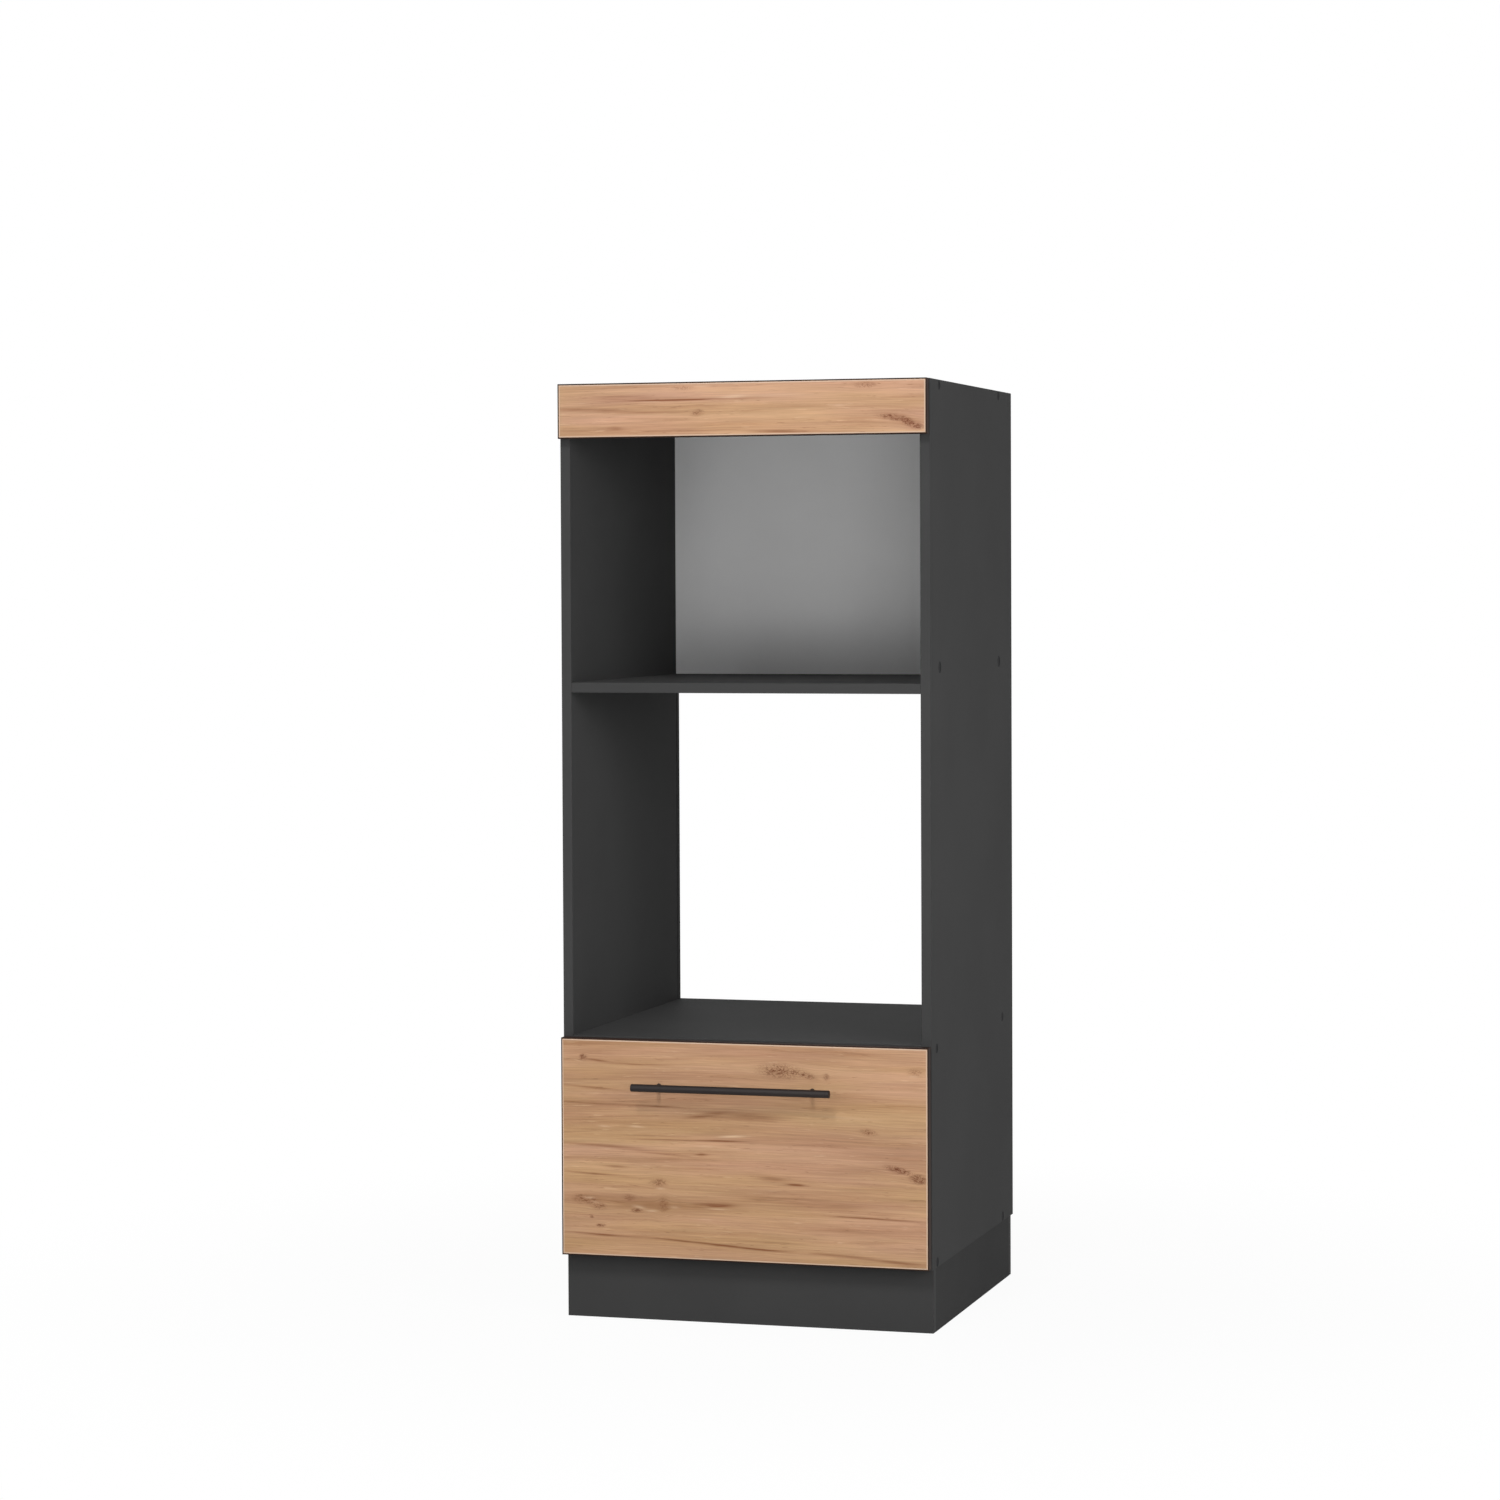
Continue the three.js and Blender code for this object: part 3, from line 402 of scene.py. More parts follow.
def make_burr():
    """The scribble of fine cracks and dark dots inside a knot."""
    group, given, result = new_group("ShaderNodeTree", "burr", [("Place", VECTOR, None)], [("Cracks", FLOAT)])
    curls = grain(group, given["Place"], (115.0, 10.0, 230.0), 2.0, 0.5, 1.3)
    lines = remap(group, calc(group, "ABSOLUTE", calc(group, "SUBTRACT", curls, 0.5)), 0.0, 0.075, 1.0, 0.0)
    dots = remap(group, grain(group, given["Place"], (130.0, 10.0, 260.0), 1.0), 0.58, 0.70)
    both = calc(group, "MULTIPLY_ADD", calc(group, "MAXIMUM", lines, dots), 0.80, 0.38)
    feed(group, result, {"Cracks": both})
    return group


KNOT = make_knot()
STREAK = make_streak()
BURR = make_burr()
print("marks:", KNOT.name, STREAK.name, BURR.name)

# %% [markdown]
# ## The oak figure
# The fronts are chipboard faced with an oak print whose grain runs across the cabinet. Oak is layered: broad
# soft bands of tone, growth lines a few millimetres apart, fibres finer still, and pores, the short dark
# dashes that every oak board has. Each layer is the same noise, stretched along the board by a different
# amount, and the table lists them. The group takes the place and a push from the knots, and returns colour,
# relief and shine.

# %% Oak figure
OAK_LIGHT = colour(204, 163, 128)
OAK_BASE = colour(186, 144, 110)
OAK_DEEP = colour(148, 100, 68)
OAK_PORE = colour(118, 80, 55)
OAK_FLECK = colour(224, 189, 154)
SWAY = 0.016
OAK_LAYERS = {
    # patches for each metre along, through and across the grain, then detail, roughness and warp
    "cloud": ((3.5, 1.0, 14.0), 2.0),
    "broad": ((1.8, 4.0, 38.0), 3.0, 0.55),
    "lines": ((6.5, 6.0, 150.0), 4.0, 0.66, 0.25),
    "fine": ((9.0, 8.0, 520.0), 3.0, 0.6),
    "fibres": ((40.0, 20.0, 1500.0), 2.0, 0.6),
    "dashes": ((55.0, 20.0, 700.0), 1.0),
    "flecks": ((30.0, 20.0, 330.0), 2.0),
    "hue": ((2.6, 1.0, 26.0), 2.0),
}


def make_oak_figure():
    group, given, result = new_group("ShaderNodeTree", "oak_figure", [
        ("Place", VECTOR, None), ("Push", FLOAT, 0.0), ("Shift", FLOAT, 0.0)], [
        ("Colour", COLOUR), ("Relief", FLOAT), ("Shine", FLOAT)])
    parts = add(group, "ShaderNodeSeparateXYZ", {0: given["Place"]}).outputs
    sway = calc(group, "SUBTRACT", grain(group, given["Place"], (2.2, 1.0, 4.0), 2.0), 0.5)
    bent = calc(group, "ADD", parts["Z"], given["Push"])
    bent = calc(group, "ADD", bent, times(group, sway, SWAY))
    along = calc(group, "ADD", parts["X"], given["Shift"])
    plank = add(group, "ShaderNodeCombineXYZ", {"X": along, "Y": parts["Y"], "Z": bent}).outputs[0]
    layer = {name: grain(group, plank, *values) for name, values in OAK_LAYERS.items()}
    broad, lines = layer["broad"], layer["lines"]

    # the tone: bands first, then dark and light growth lines, flecks and pores over them
    dark_lines = times(group, remap(group, lines, 0.49, 0.76), remap(group, broad, 0.74, 0.34))
    pores = times(group, remap(group, layer["dashes"], 0.66, 0.76), remap(group, lines, 0.38, 0.62))
    tone = mix(group, remap(group, broad, 0.30, 0.70), OAK_BASE, OAK_LIGHT)
    tone = lay_over(group, tone, dark_lines, 0.46, OAK_DEEP)
    tone = lay_over(group, tone, remap(group, lines, 0.44, 0.28), 0.45, OAK_LIGHT)
    tone = lay_over(group, tone, remap(group, layer["flecks"], 0.64, 0.76), 0.35, OAK_FLECK)
    tone = lay_over(group, tone, pores, 0.45, OAK_PORE)

    # the shade: fine lines, fibres and clouds for brightness, and a slow drift between yellow and grey
    grey = times(group, remap(group, layer["fine"], 0.30, 0.70, 0.90, 1.10),
                remap(group, layer["fibres"], 0.25, 0.75, 0.95, 1.05))
    grey = times(group, grey, remap(group, layer["cloud"], 0.30, 0.70, 0.94, 1.05))
    green = times(group, grey, remap(group, layer["hue"], 0.32, 0.68, 0.955, 1.015))
    blue = times(group, grey, remap(group, layer["hue"], 0.32, 0.68, 0.995, 0.895))
    shade = add(group, "ShaderNodeCombineColor", {0: grey, 1: green, 2: blue}).outputs[0]
    feed(group, result, {
        "Colour": mix(group, 1.0, tone, shade, "MULTIPLY"),
        "Relief": calc(group, "SUBTRACT", times(group, layer["fibres"], 0.3), pores),
        "Shine": remap(group, lines, 0.3, 0.7, 0.46, 0.56)})
    return group


OAK_FIGURE = make_oak_figure()
print(OAK_FIGURE.name, "layers:", ", ".join(OAK_LAYERS))

# %% [markdown]
# ## Materials
# Each finish opens a Principled shader, reads the Object coordinates, places the groups that it needs, and
# feeds colour, roughness and a Bump node. The numbers that stay the same all over a surface, such as the
# metalness of steel, are set on the shader's own sockets. Melamine, lacquer, plastic and powder coat differ
# only in colour, grain and shine, so they are rows of one table.

# %% Material helper
def open_material(name, roughness=0.5, metallic=0.0, specular=0.5):
    """A new Principled material: its tree, its shader and the place on the object."""
    material = bpy.data.materials.new(name)
    material.use_nodes = True
    tree = material.node_tree
    shader = tree.nodes["Principled BSDF"].inputs
    feed(tree, shader, {"Roughness": roughness, "Metallic": metallic, "Specular IOR Level": specular})
    return material, tree, shader, add(tree, "ShaderNodeTexCoord").outputs["Object"]


def bump(tree, shader, height, depth):
    """Relief of a depth in metres, from a height between 0 and 1."""
    node = add(tree, "ShaderNodeBump", {"Height": height, "Distance": depth, "Strength": 1.0})
    tree.links.new(node.outputs[0], shader["Normal"])


def skin_material(name, dark, light, grain_size, relief, rough, specular):
    """One colour that wavers a little, with a fine relief. Grain and relief are in millimetres."""
    material, tree, shader, place = open_material(name, specular=specular)
    skin = place_group(tree, PRESSED_SKIN, Place=place, Grain_size=grain_size * MM)
    tone = mix(tree, remap(tree, skin["Mottle"], 0.3, 0.7), colour(*dark), colour(*light))
    feed(tree, shader, {"Base Color": tone, "Roughness": remap(tree, skin["Fine"], 0.2, 0.8, *rough)})
    bump(tree, shader, skin["Height"], relief * MM)
    return material


SKINS = {
    # darkest and lightest colour on screen, grain, relief, roughness from and to, specular
    "graphite_melamine": ((64, 64, 64), (67, 67, 67), 0.7, 0.04, (0.62, 0.74), 0.02),
    # the plinth is a shade darker than the sides: painted shade for the shadow under the drawer front
    "graphite_plinth_painted_shade": ((56, 56, 56), (59, 59, 59), 0.7, 0.04, (0.64, 0.76), 0.02),
    "graphite_edge_band": ((57, 57, 57), (60, 60, 60), 0.5, 0.02, (0.56, 0.66), 0.03),
    "pale_grey_melamine": ((196, 196, 194), (204, 204, 202), 0.7, 0.03, (0.46, 0.58), 0.5),
    "pale_grey_edge_band": ((203, 203, 201), (209, 209, 207), 0.5, 0.02, (0.40, 0.50), 0.5),
    "pale_back_lacquer": ((230, 230, 230), (236, 236, 236), 1.2, 0.03, (0.60, 0.72), 0.05),
    "black_moulded_plastic": ((33, 33, 34), (38, 38, 39), 0.4, 0.02, (0.52, 0.64), 0.02),
    "graphite_powder_coat": ((28, 22, 21), (32, 26, 24), 0.3, 0.01, (0.40, 0.50), 0.2),
    "dark_oak_edge_band": ((42, 30, 26), (50, 37, 31), 0.9, 0.04, (0.50, 0.62), 0.05),
    # the pale border is a painted highlight on the fronts' milled slope
    "pale_border_painted_highlight": ((182, 155, 133), (190, 164, 142), 0.6, 0.02, (0.46, 0.56), 0.3),
}
SKIN = {name: skin_material(name, *values) for name, values in SKINS.items()}
print("skin finishes:", len(SKIN))

# %% Raw board finishes
FELT_SCALE = 260.0
FELT_CLOUD_SCALE = 9.0


def make_chip_core():
    material, tree, shader, place = open_material("raw_chipboard", 0.85, specular=0.2)
    core = place_group(tree, CHIPBOARD, Place=place)
    feed(tree, shader, {"Base Color": core["Colour"]})
    bump(tree, shader, core["Height"], 0.0003)
    return material


def make_raw_hardboard():
    """The unlacquered rear of the back board: brown felted fibres."""
    material, tree, shader, place = open_material("raw_hardboard", 0.8, specular=0.2)
    felt = noise(tree, place, FELT_SCALE, 5.0, 0.7, 0.6)
    cloud = noise(tree, place, FELT_CLOUD_SCALE, 3.0)
    tone = mix(tree, remap(tree, felt, 0.3, 0.7), colour(118, 90, 64), colour(158, 127, 94))
    tone = lay_over(tree, tone, remap(tree, cloud, 0.4, 0.7), 0.35, colour(132, 101, 73))
    feed(tree, shader, {"Base Color": tone})
    bump(tree, shader, felt, 0.0001)
    return material


CHIP_CORE = make_chip_core()
RAW_HARDBOARD = make_raw_hardboard()
print("raw finishes:", CHIP_CORE.name, RAW_HARDBOARD.name)

# %% [markdown]
# ### Oak boards and their marks
# The print on each oak board has its own knots, streaks and flecks. On the drawer front, three streaks under
# the handle are partly dark print and partly the handle's painted shadow. They are given below as one would
# mark
# them on a plank: a place in millimetres from the board's middle, half a length, half a thickness and a tilt.
# Knots pull the grain lines round themselves and hold a scribble of dark cracks; streaks only darken, and
# flecks only lighten. The weight says how strong a mark is. The places were read off the photo by eye, with a
# script outside this file to turn pixels into millimetres on the board.

# %% Oak marks
DRAWER_KNOTS = [
    # across, height, half length, half thickness, tilt in degrees, weight
    (-262, 143, 6, 5, 0, 0.88),
    (62, 130, 34, 11, -4, 0.86),
    (104, 124, 16, 5, -14, 0.60),
    (136, 123, 5, 6, 0, 0.50),
    (279, 134, 13, 6, 0, 0.55),
    (203, 39, 13, 5, -8, 0.72),
    (251, -18, 22, 5, -12, 0.94),
    (282, -31, 14, 7, -12, 0.99),
    (-138, -52, 14, 7, 0, 0.62),
    (-258, -83, 22, 7, -4, 0.66),
    (-236, -93, 12, 5, 0, 0.72),
    (-187, -78, 10, 5, 0, 0.50),
    (-174, -97, 10, 4, 0, 0.77),
    (-130, -86, 9, 13, 0, 0.42),
    (-234, -123, 7, 2.5, 0, 1.32),
    (-249, -110, 3, 2, 0, 0.88),
]
DRAWER_STREAKS_AND_HANDLE_SHADOW = [
    (-238, 138, 20, 1.6, -6, 0.57),
    (-240, 152, 80, 24, 0, 0.24),
    (-168, 134, 42, 2.0, 0, 0.69),
    (-250, 95, 50, 1.8, -4, 0.63),
    (-240, 70, 56, 1.6, -1.2, 0.80),
    (-130, 68, 45, 1.5, -1.5, 0.63),
    # the next three lie just below the handle's bar: partly dark print, partly painted shadow of the handle
    (-59, 57, 28, 3.5, 9, 0.75),
    (20, 56, 40, 7, -4, 0.42),
    (-30, 68, 110, 15, -2, 0.24),
    (-140, 16, 55, 1.3, 0.6, 0.46),
    (-50, 17, 52, 1.3, 1.0, 1.09),
    (-225, 3, 75, 2.4, -2.5, 0.57),
    (-130, -6, 50, 2.0, -4.0, 0.46),
    (-68, -5, 10, 2.0, 0, 0.80),
    (-207, -29, 22, 2.0, -1, 0.69),
    (-238, -42, 58, 1.8, -3, 0.63),
    (47, -39, 26, 4.0, -5, 0.46),
    (86, -47, 15, 1.8, -2, 1.09),
    (-165, -86, 135, 14, 0, 0.46),
    (-45, -84, 30, 3.0, 2, 1.09),
    (60, -70, 90, 9, -3, 0.40),
    (180, -75, 75, 16, 0, 0.25),
    (220, -95, 80, 1.3, -1, 0.80),
    (-230, -138, 65, 1.6, -2.5, 0.86),
    (-60, -145, 80, 1.6, -3.5, 1.15),
    (40, -151, 45, 1.8, -2.0, 0.69),
    (160, -155, 80, 2.4, -3.0, 0.52),
    (255, -162, 45, 2.2, -3.0, 0.57),
]
DRAWER_FLECKS = [
    (-226, 34, 10, 1.6, -2, 0.70),
    (-174, 35, 12, 1.6, -2, 0.60),
    (-16, 25, 22, 1.8, 3, 0.80),
    (-60, 8, 18, 1.2, 0, 0.40),
    (170, 60, 40, 2.0, -2, 0.30),
    (-40, -90, 16, 1.2, 0, 0.60),
    (-135, -61, 7, 1.6, 0, 0.60),
    (-253, -80, 8, 1.6, 0, 0.50),
    (-242, -87, 7, 1.4, -10, 0.50),
    (-170, -92, 10, 2.5, -10, 0.45),
    (-149, -97, 9, 1.8, 0, 0.50),
    (-112, -90, 8, 2.0, 0, 0.35),
    (275, 128, 7, 1.8, 0, 0.60),
]
FASCIA_KNOTS = [
    (-68, -5, 9, 4.5, 8, 0.77),
    (202, 33, 18, 5, 0, 0.55),
    (246, -17, 22, 5, -8, 0.83),
    (270, -25, 12, 6, -25, 0.94),
    (285, -31, 9, 5, 0, 0.88),
    (-93, 34, 20, 4, 0, 0.39),
]
FASCIA_STREAKS = [
    (-95, 15, 92, 1.3, 0.3, 1.15),
    (-205, 20, 48, 4.0, -1.0, 0.57),
    (-243, 1, 60, 3.0, -2.0, 0.69),
    (-140, -4, 60, 2.0, 0, 0.40),
    (-201, -28, 16, 3.5, 0, 0.57),
    (64, -36, 46, 2.4, -1, 0.63),
    (-60, -33, 60, 1.6, 0, 0.40),
    (262, -20, 34, 7, -10, 0.40),
    (90, 2, 70, 1.6, 0, 0.29),
]
FASCIA_FLECKS = [
    (-12, 19, 18, 2.0, 2, 0.80),
    (-60, 36, 14, 1.5, 0, 0.40),
    (160, 3, 10, 2.0, 0, 0.40),
    (60, 20, 60, 3.0, -1, 0.25),
]
KNOT_DARK = colour(114, 62, 38)
# the dark streak colour, which on the drawer front also paints the handle's shadow
STREAK_AND_SHADOW_DARK = colour(128, 74, 44)


def place_marks(tree, group, place, marks, middle_height):
    """Places a list of marks: their masks added up, each times its weight, and their pushes added up."""
    mask = push = 0.0
    for across, height, length, thickness, tilt, weight in marks:
        mark = place_group(tree, group, Place=place, Across=across * MM, Height=middle_height + height * MM,
                           Length=length * MM, Thickness=thickness * MM, Tilt=math.radians(tilt))
        mask = calc(tree, "MULTIPLY_ADD", mark["Mask"], weight, mask)
        if "Push" in mark:
            push = calc(tree, "ADD", push, mark["Push"])
    return mask, push


def make_oak(name, node, knots, streaks, flecks, shift, lift):
    """The oak print of one board. shift picks another plank, lift is a brightness for each colour."""
    material, tree, shader, place = open_material(name, specular=0.15)
    low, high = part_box(node)
    middle = (low.z + high.z) / 2
    knot_mask, push = place_marks(tree, KNOT, place, knots, middle)
    streak_and_shadow_mask, _ = place_marks(tree, STREAK, place, streaks, middle)
    fleck_mask, _ = place_marks(tree, STREAK, place, flecks, middle)
    figure = place_group(tree, OAK_FIGURE, Place=place, Push=push, Shift=shift)
    cracks = place_group(tree, BURR, Place=place)["Cracks"]
    fray = remap(tree, grain(tree, place, (14.0, 10.0, 260.0), 3.0), 0.25, 0.60, 0.35, 1.15)
    streak_and_shadow_shade = times(tree, streak_and_shadow_mask, fray, clamp=True)
    knot_shade = times(tree, knot_mask, cracks, clamp=True)
    fleck_shade = times(tree, fleck_mask, fray, clamp=True)
    # the streaks darken the print, and under the drawer's handle they also lay on painted shadow
    tone = lay_over(tree, figure["Colour"], streak_and_shadow_shade, 0.9, STREAK_AND_SHADOW_DARK)
    tone = mix(tree, knot_shade, tone, KNOT_DARK)
    tone = mix(tree, fleck_shade, tone, OAK_FLECK)
    tone = mix(tree, 1.0, tone, (*lift, 1.0), "MULTIPLY")
    feed(tree, shader, {"Base Color": tone, "Roughness": figure["Shine"]})
    bump(tree, shader, figure["Relief"], 0.00006)
    return material


OAK_DRAWER = make_oak("oak_drawer_front", "drawer_front", DRAWER_KNOTS, DRAWER_STREAKS_AND_HANDLE_SHADOW, DRAWER_FLECKS, 0.0,
                      (0.705, 0.71, 0.715))
OAK_FASCIA = make_oak("oak_fascia", "fascia_panel", FASCIA_KNOTS, FASCIA_STREAKS, FASCIA_FLECKS, 1.7,
                      (0.765, 0.765, 0.825))
print("oak marks:", len(DRAWER_KNOTS + DRAWER_STREAKS_AND_HANDLE_SHADOW + DRAWER_FLECKS), "on the drawer front,",
      len(FASCIA_KNOTS + FASCIA_STREAKS + FASCIA_FLECKS), "on the fascia")

# %% Metal and clear plastic
HAZE_SCALE = 700.0
DULL_PATCH = 0.86


def make_steel(name, tint, rough, spangle):
    """Plated sheet steel: a faint spangle in the plating and fine rolling lines."""
    material, tree, shader, place = open_material(name, metallic=1.0)
    cells = add(tree, "ShaderNodeTexVoronoi", {"Vector": place, "Scale": spangle}).outputs["Color"]
    patch = add(tree, "ShaderNodeSeparateColor", {0: cells}).outputs[0]
    rolled = grain(tree, place, (900.0, 14.0, 900.0), 3.0, 0.6)
    tone = mix(tree, patch, (*tint, 1.0), (*(DULL_PATCH * part for part in tint), 1.0))
    wear = blend(tree, patch, rolled, 0.6)
    feed(tree, shader, {"Base Color": tone, "Roughness": remap(tree, wear, 0.2, 0.8, *rough)})
    bump(tree, shader, rolled, 0.00001)
    return material


def make_clear_plastic():
    material, tree, shader, place = open_material("clear_soft_plastic", 0.25)
    haze = noise(tree, place, HAZE_SCALE, 2.0)
    feed(tree, shader, {"Base Color": mix(tree, haze, colour(214, 217, 218), colour(232, 234, 235)),
                        "Roughness": remap(tree, haze, 0.3, 0.7, 0.18, 0.30)})
    return material


ZINC = make_steel("zinc_plated_steel", (0.63, 0.645, 0.66), (0.26, 0.42), 260.0)
CAST_ZINC = make_steel("cast_zinc", (0.42, 0.43, 0.44), (0.40, 0.55), 900.0)
CLEAR = make_clear_plastic()
print("metals:", ZINC.name, CAST_ZINC.name)

# %% [markdown]
# ## Boards with real edges
# A melamine board is a chipboard core between two printed faces. Its sawn edges are closed with bands, thin
# strips glued on and milled round at the arris, and edges nobody sees stay raw. One function makes such a
# board from its solid's box: a core whose faces are melamine and whose raw edges are chipboard, and a
# separate strip for each banded side. The strips that are named first run the full length, and the next
# ones fit between them. A tiny chamfer on the core leaves the hairline that a real glue joint shows.

# %% Board helpers
FACE, BAND, CORE, ARRIS = range(4)
HAIRLINE = 0.0002
BAND_STEPS = 3
SHARP = math.radians(40)
NEAR = 1e-7
SIDES = {"left": -1, "right": 1}


def add_block(bm, low, high, slot):
    """A box between two corners, all its faces in one material slot. Returns its vertices."""
    vertices = bmesh.ops.create_cube(bm, size=1.0)["verts"]
    for vertex in vertices:
        vertex.co = Vector([low[i] if vertex.co[i] < 0 else high[i] for i in range(3)])
    for face in {face for vertex in vertices for face in vertex.link_faces}:
        face.material_index = slot
    return vertices


def edges_at(bm, vertices, axis, value):
    """The edges among these vertices that lie on the plane axis = value."""
    near = {vertex for vertex in vertices if abs(vertex.co[axis] - value) < NEAR}
    return [edge for edge in bm.edges if near.issuperset(edge.verts)]


def round_edges(bm, edges, offset, steps, slot):
    """Bevels these edges, with the new faces in one material slot."""
    bmesh.ops.bevel(bm, geom=edges, offset=offset, segments=steps, affect="EDGES", profile=0.5, material=slot)


def link_mesh(name, bm, materials):
    """A mesh object at the origin from a bmesh, its normals out and its curves smooth."""
    bmesh.ops.recalc_face_normals(bm, faces=bm.faces)
    mesh = bpy.data.meshes.new(name)
    bm.to_mesh(mesh)
    bm.free()
    for material in materials:
        mesh.materials.append(material)
    mesh.shade_smooth()
    mesh.set_sharp_from_angle(angle=SHARP)
    made = bpy.data.objects.new(name, mesh)
    bpy.context.scene.collection.objects.link(made)
    return made


def settle(piece):
    """Turns what the modifiers make into the object's own mesh."""
    graph = bpy.context.evaluated_depsgraph_get()
    finished = bpy.data.meshes.new_from_object(piece.evaluated_get(graph), depsgraph=graph)
    finished.name = piece.name
    piece.modifiers.clear()
    piece.data = finished
    return piece


def even_shading(piece):
    """Large faces keep their flat shading up to the rounded arrises."""
    piece.modifiers.new("even_shading", "WEIGHTED_NORMAL").keep_sharp = True
    return settle(piece)


def stand_for(piece, *nodes):
    """The piece takes the place of these solids: they are hidden, and it rides on their body."""
    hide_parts(*nodes)
    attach(piece, BODY_OF[nodes[0]])
    return piece


def board_finish(face, band):
    """A board's materials in the order of its slots: face, band, raw core and border."""
    return [SKIN[face], SKIN[band], CHIP_CORE, SKIN[band]]


def node_middles(prefix):
    """Every solid whose name starts so: its name, its middle, and -1 on the left or 1 on the right."""
    for node in sorted(NODES):
        if node.startswith(prefix):
            low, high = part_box(node)
            yield node, (low + high) / 2, SIDES["left" if "_left" in node else "right"]


print("arrises in", BAND_STEPS, "steps, hairline", HAIRLINE / MM, "mm")

# %% Make a board
def pull_in(low, high, side, distance):
    """Moves one side of a box inwards."""
    axis, sign = side
    if sign < 0:
        low[axis] += distance
    else:
        high[axis] -= distance


def core_corners(low, high, sides, band):
    """The core's corners: the board's box less the bands."""
    core_low, core_high = Vector(low), Vector(high)
    for side in sides:
        pull_in(core_low, core_high, side, band)
    return core_low, core_high


def make_core(bm, low, high, thin):
    """The core block: the face finish on its two broad sides, raw on its edges."""
    add_block(bm, low, high, CORE)
    for face in bm.faces:
        if abs(face.normal[thin]) > 0.5:
            face.material_index = FACE
    round_edges(bm, bm.edges[:], HAIRLINE, 1, FACE)
    bm.normal_update()


def mill_border(bm, low, border, slope):
    """The front face's border falls away a little towards its edges, and takes its own slot, which on the oak
    fronts holds a pale painted highlight.
    """
    front = [face for face in bm.faces if face.normal.y < -0.9]
    for face in bmesh.ops.inset_region(bm, faces=front, thickness=border)["faces"]:
        face.material_index = ARRIS
    inner = set(front[0].verts)
    for vertex in bm.verts:
        if vertex.co.y < low.y + 2 * HAIRLINE and vertex not in inner:
            vertex.co.y += slope


def add_bands(bm, low, high, sides, band, radius):
    """One strip for each banded side, milled round outside, between the strips named before it."""
    for number, (axis, sign) in enumerate(sides):
        first, last = Vector(low), Vector(high)
        for earlier in sides[:number]:
            if earlier[0] != axis:
                pull_in(first, last, earlier, band)
        if sign < 0:
            outer = first[axis]
            last[axis] = outer + band
        else:
            outer = last[axis]
            first[axis] = outer - band
        vertices = add_block(bm, first, last, BAND)
        round_edges(bm, edges_at(bm, vertices, axis, outer), radius, BAND_STEPS, BAND)


def make_board(node, sides, finish, band=0.0008, radius=0.0006, cut=None, border=0.0, slope=0.0):
    """The finished board of one solid. sides lists the banded sides as (axis, sign)."""
    low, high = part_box(node)
    thin = min(range(3), key=lambda axis: high[axis] - low[axis])
    bm = bmesh.new()
    make_core(bm, *core_corners(low, high, sides, band), thin)
    if border:
        mill_border(bm, low, border, slope)
        low = Vector((low.x, low.y + slope, low.z))
    name = f"{node}_board"
    if cut:
        core = cut(link_mesh(f"{name}_core", bm, finish))
        bm = bmesh.new()
        bm.from_mesh(core.data)
        bpy.data.objects.remove(core)
    add_bands(bm, low, high, sides, band, radius)
    return stand_for(even_shading(link_mesh(name, bm, finish)), node)


X, Y, Z = range(3)
FRONT, REAR, LEFT, RIGHT, TOP, BOTTOM = (Y, -1), (Y, 1), (X, -1), (X, 1), (Z, 1), (Z, -1)
print("a board's sides:", {"front": FRONT, "top": TOP, "left": LEFT})

# %% [markdown]
# ## The carcass
# Two sides, a top, a shelf, the oven's floor and a bottom, all in graphite melamine, stand on a plinth frame
# whose colour is a shade darker: painted shade for the shadow under the drawer front. The sides also have a
# saw-cut groove for the back boards, which shows inside the oven niche, and round recesses for the caps over
# the screws. A Boolean modifier makes those cuts in the core before its bands go on. The cut walls take the
# cutter's own slot, which is the dark finish of the bands.

# %% Cuts in the side panels
CAP_GAP = 0.0003
RECESS_RADIUS = {"hole_plug_": 0.009, "screw_": 0.0075}
RECESS_DEPTH = 0.002
RECESS_STEPS = 48
GROOVE_GAP = 0.00025
GROOVE_DEPTH = 0.008
QUARTER_TURN = math.pi / 2


def recess_places(direction):
    """Where a side panel's plugs and caps sit: (y, z, radius) of each."""
    for prefix, radius in RECESS_RADIUS.items():
        for _, middle, side in node_middles(prefix):
            if side == direction:
                yield middle.y, middle.z, radius


def cut_side(side):
    """A function that cuts the recesses and the groove into one side panel's core."""
    direction = SIDES[side]

    def cut(core):
        cutter = bmesh.new()
        for y, z, radius in recess_places(direction):
            place = Matrix.Translation((direction * cad_high.x, y, z)) @ Matrix.Rotation(QUARTER_TURN, 4, "Y")
            bmesh.ops.create_cone(cutter, cap_ends=True, segments=RECESS_STEPS, radius1=radius + CAP_GAP,
                                  radius2=radius + CAP_GAP, depth=2 * RECESS_DEPTH, matrix=place)
        for face in cutter.faces:
            face.material_index = BAND
        back_low, back_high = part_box("back_panel_upper")
        panel_low, panel_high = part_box(f"side_panel_{side}")
        inner = panel_low.x if direction > 0 else panel_high.x
        add_block(cutter, (inner - GROOVE_DEPTH, back_low.y - GROOVE_GAP, panel_low.z - GROOVE_DEPTH),
                  (inner + GROOVE_DEPTH, back_high.y + GROOVE_GAP, panel_high.z + GROOVE_DEPTH), BAND)
        tool = link_mesh("side_cutter", cutter, [None] * 4)
        boolean = core.modifiers.new("cuts", "BOOLEAN")
        boolean.object = tool
        boolean.operation = "DIFFERENCE"
        boolean.solver = "EXACT"
        boolean.material_mode = "INDEX"
        settle(core)
        bpy.data.objects.remove(tool)
        return core
    return cut


for side, direction in SIDES.items():
    print(side, "side has", len(list(recess_places(direction))), "recesses")

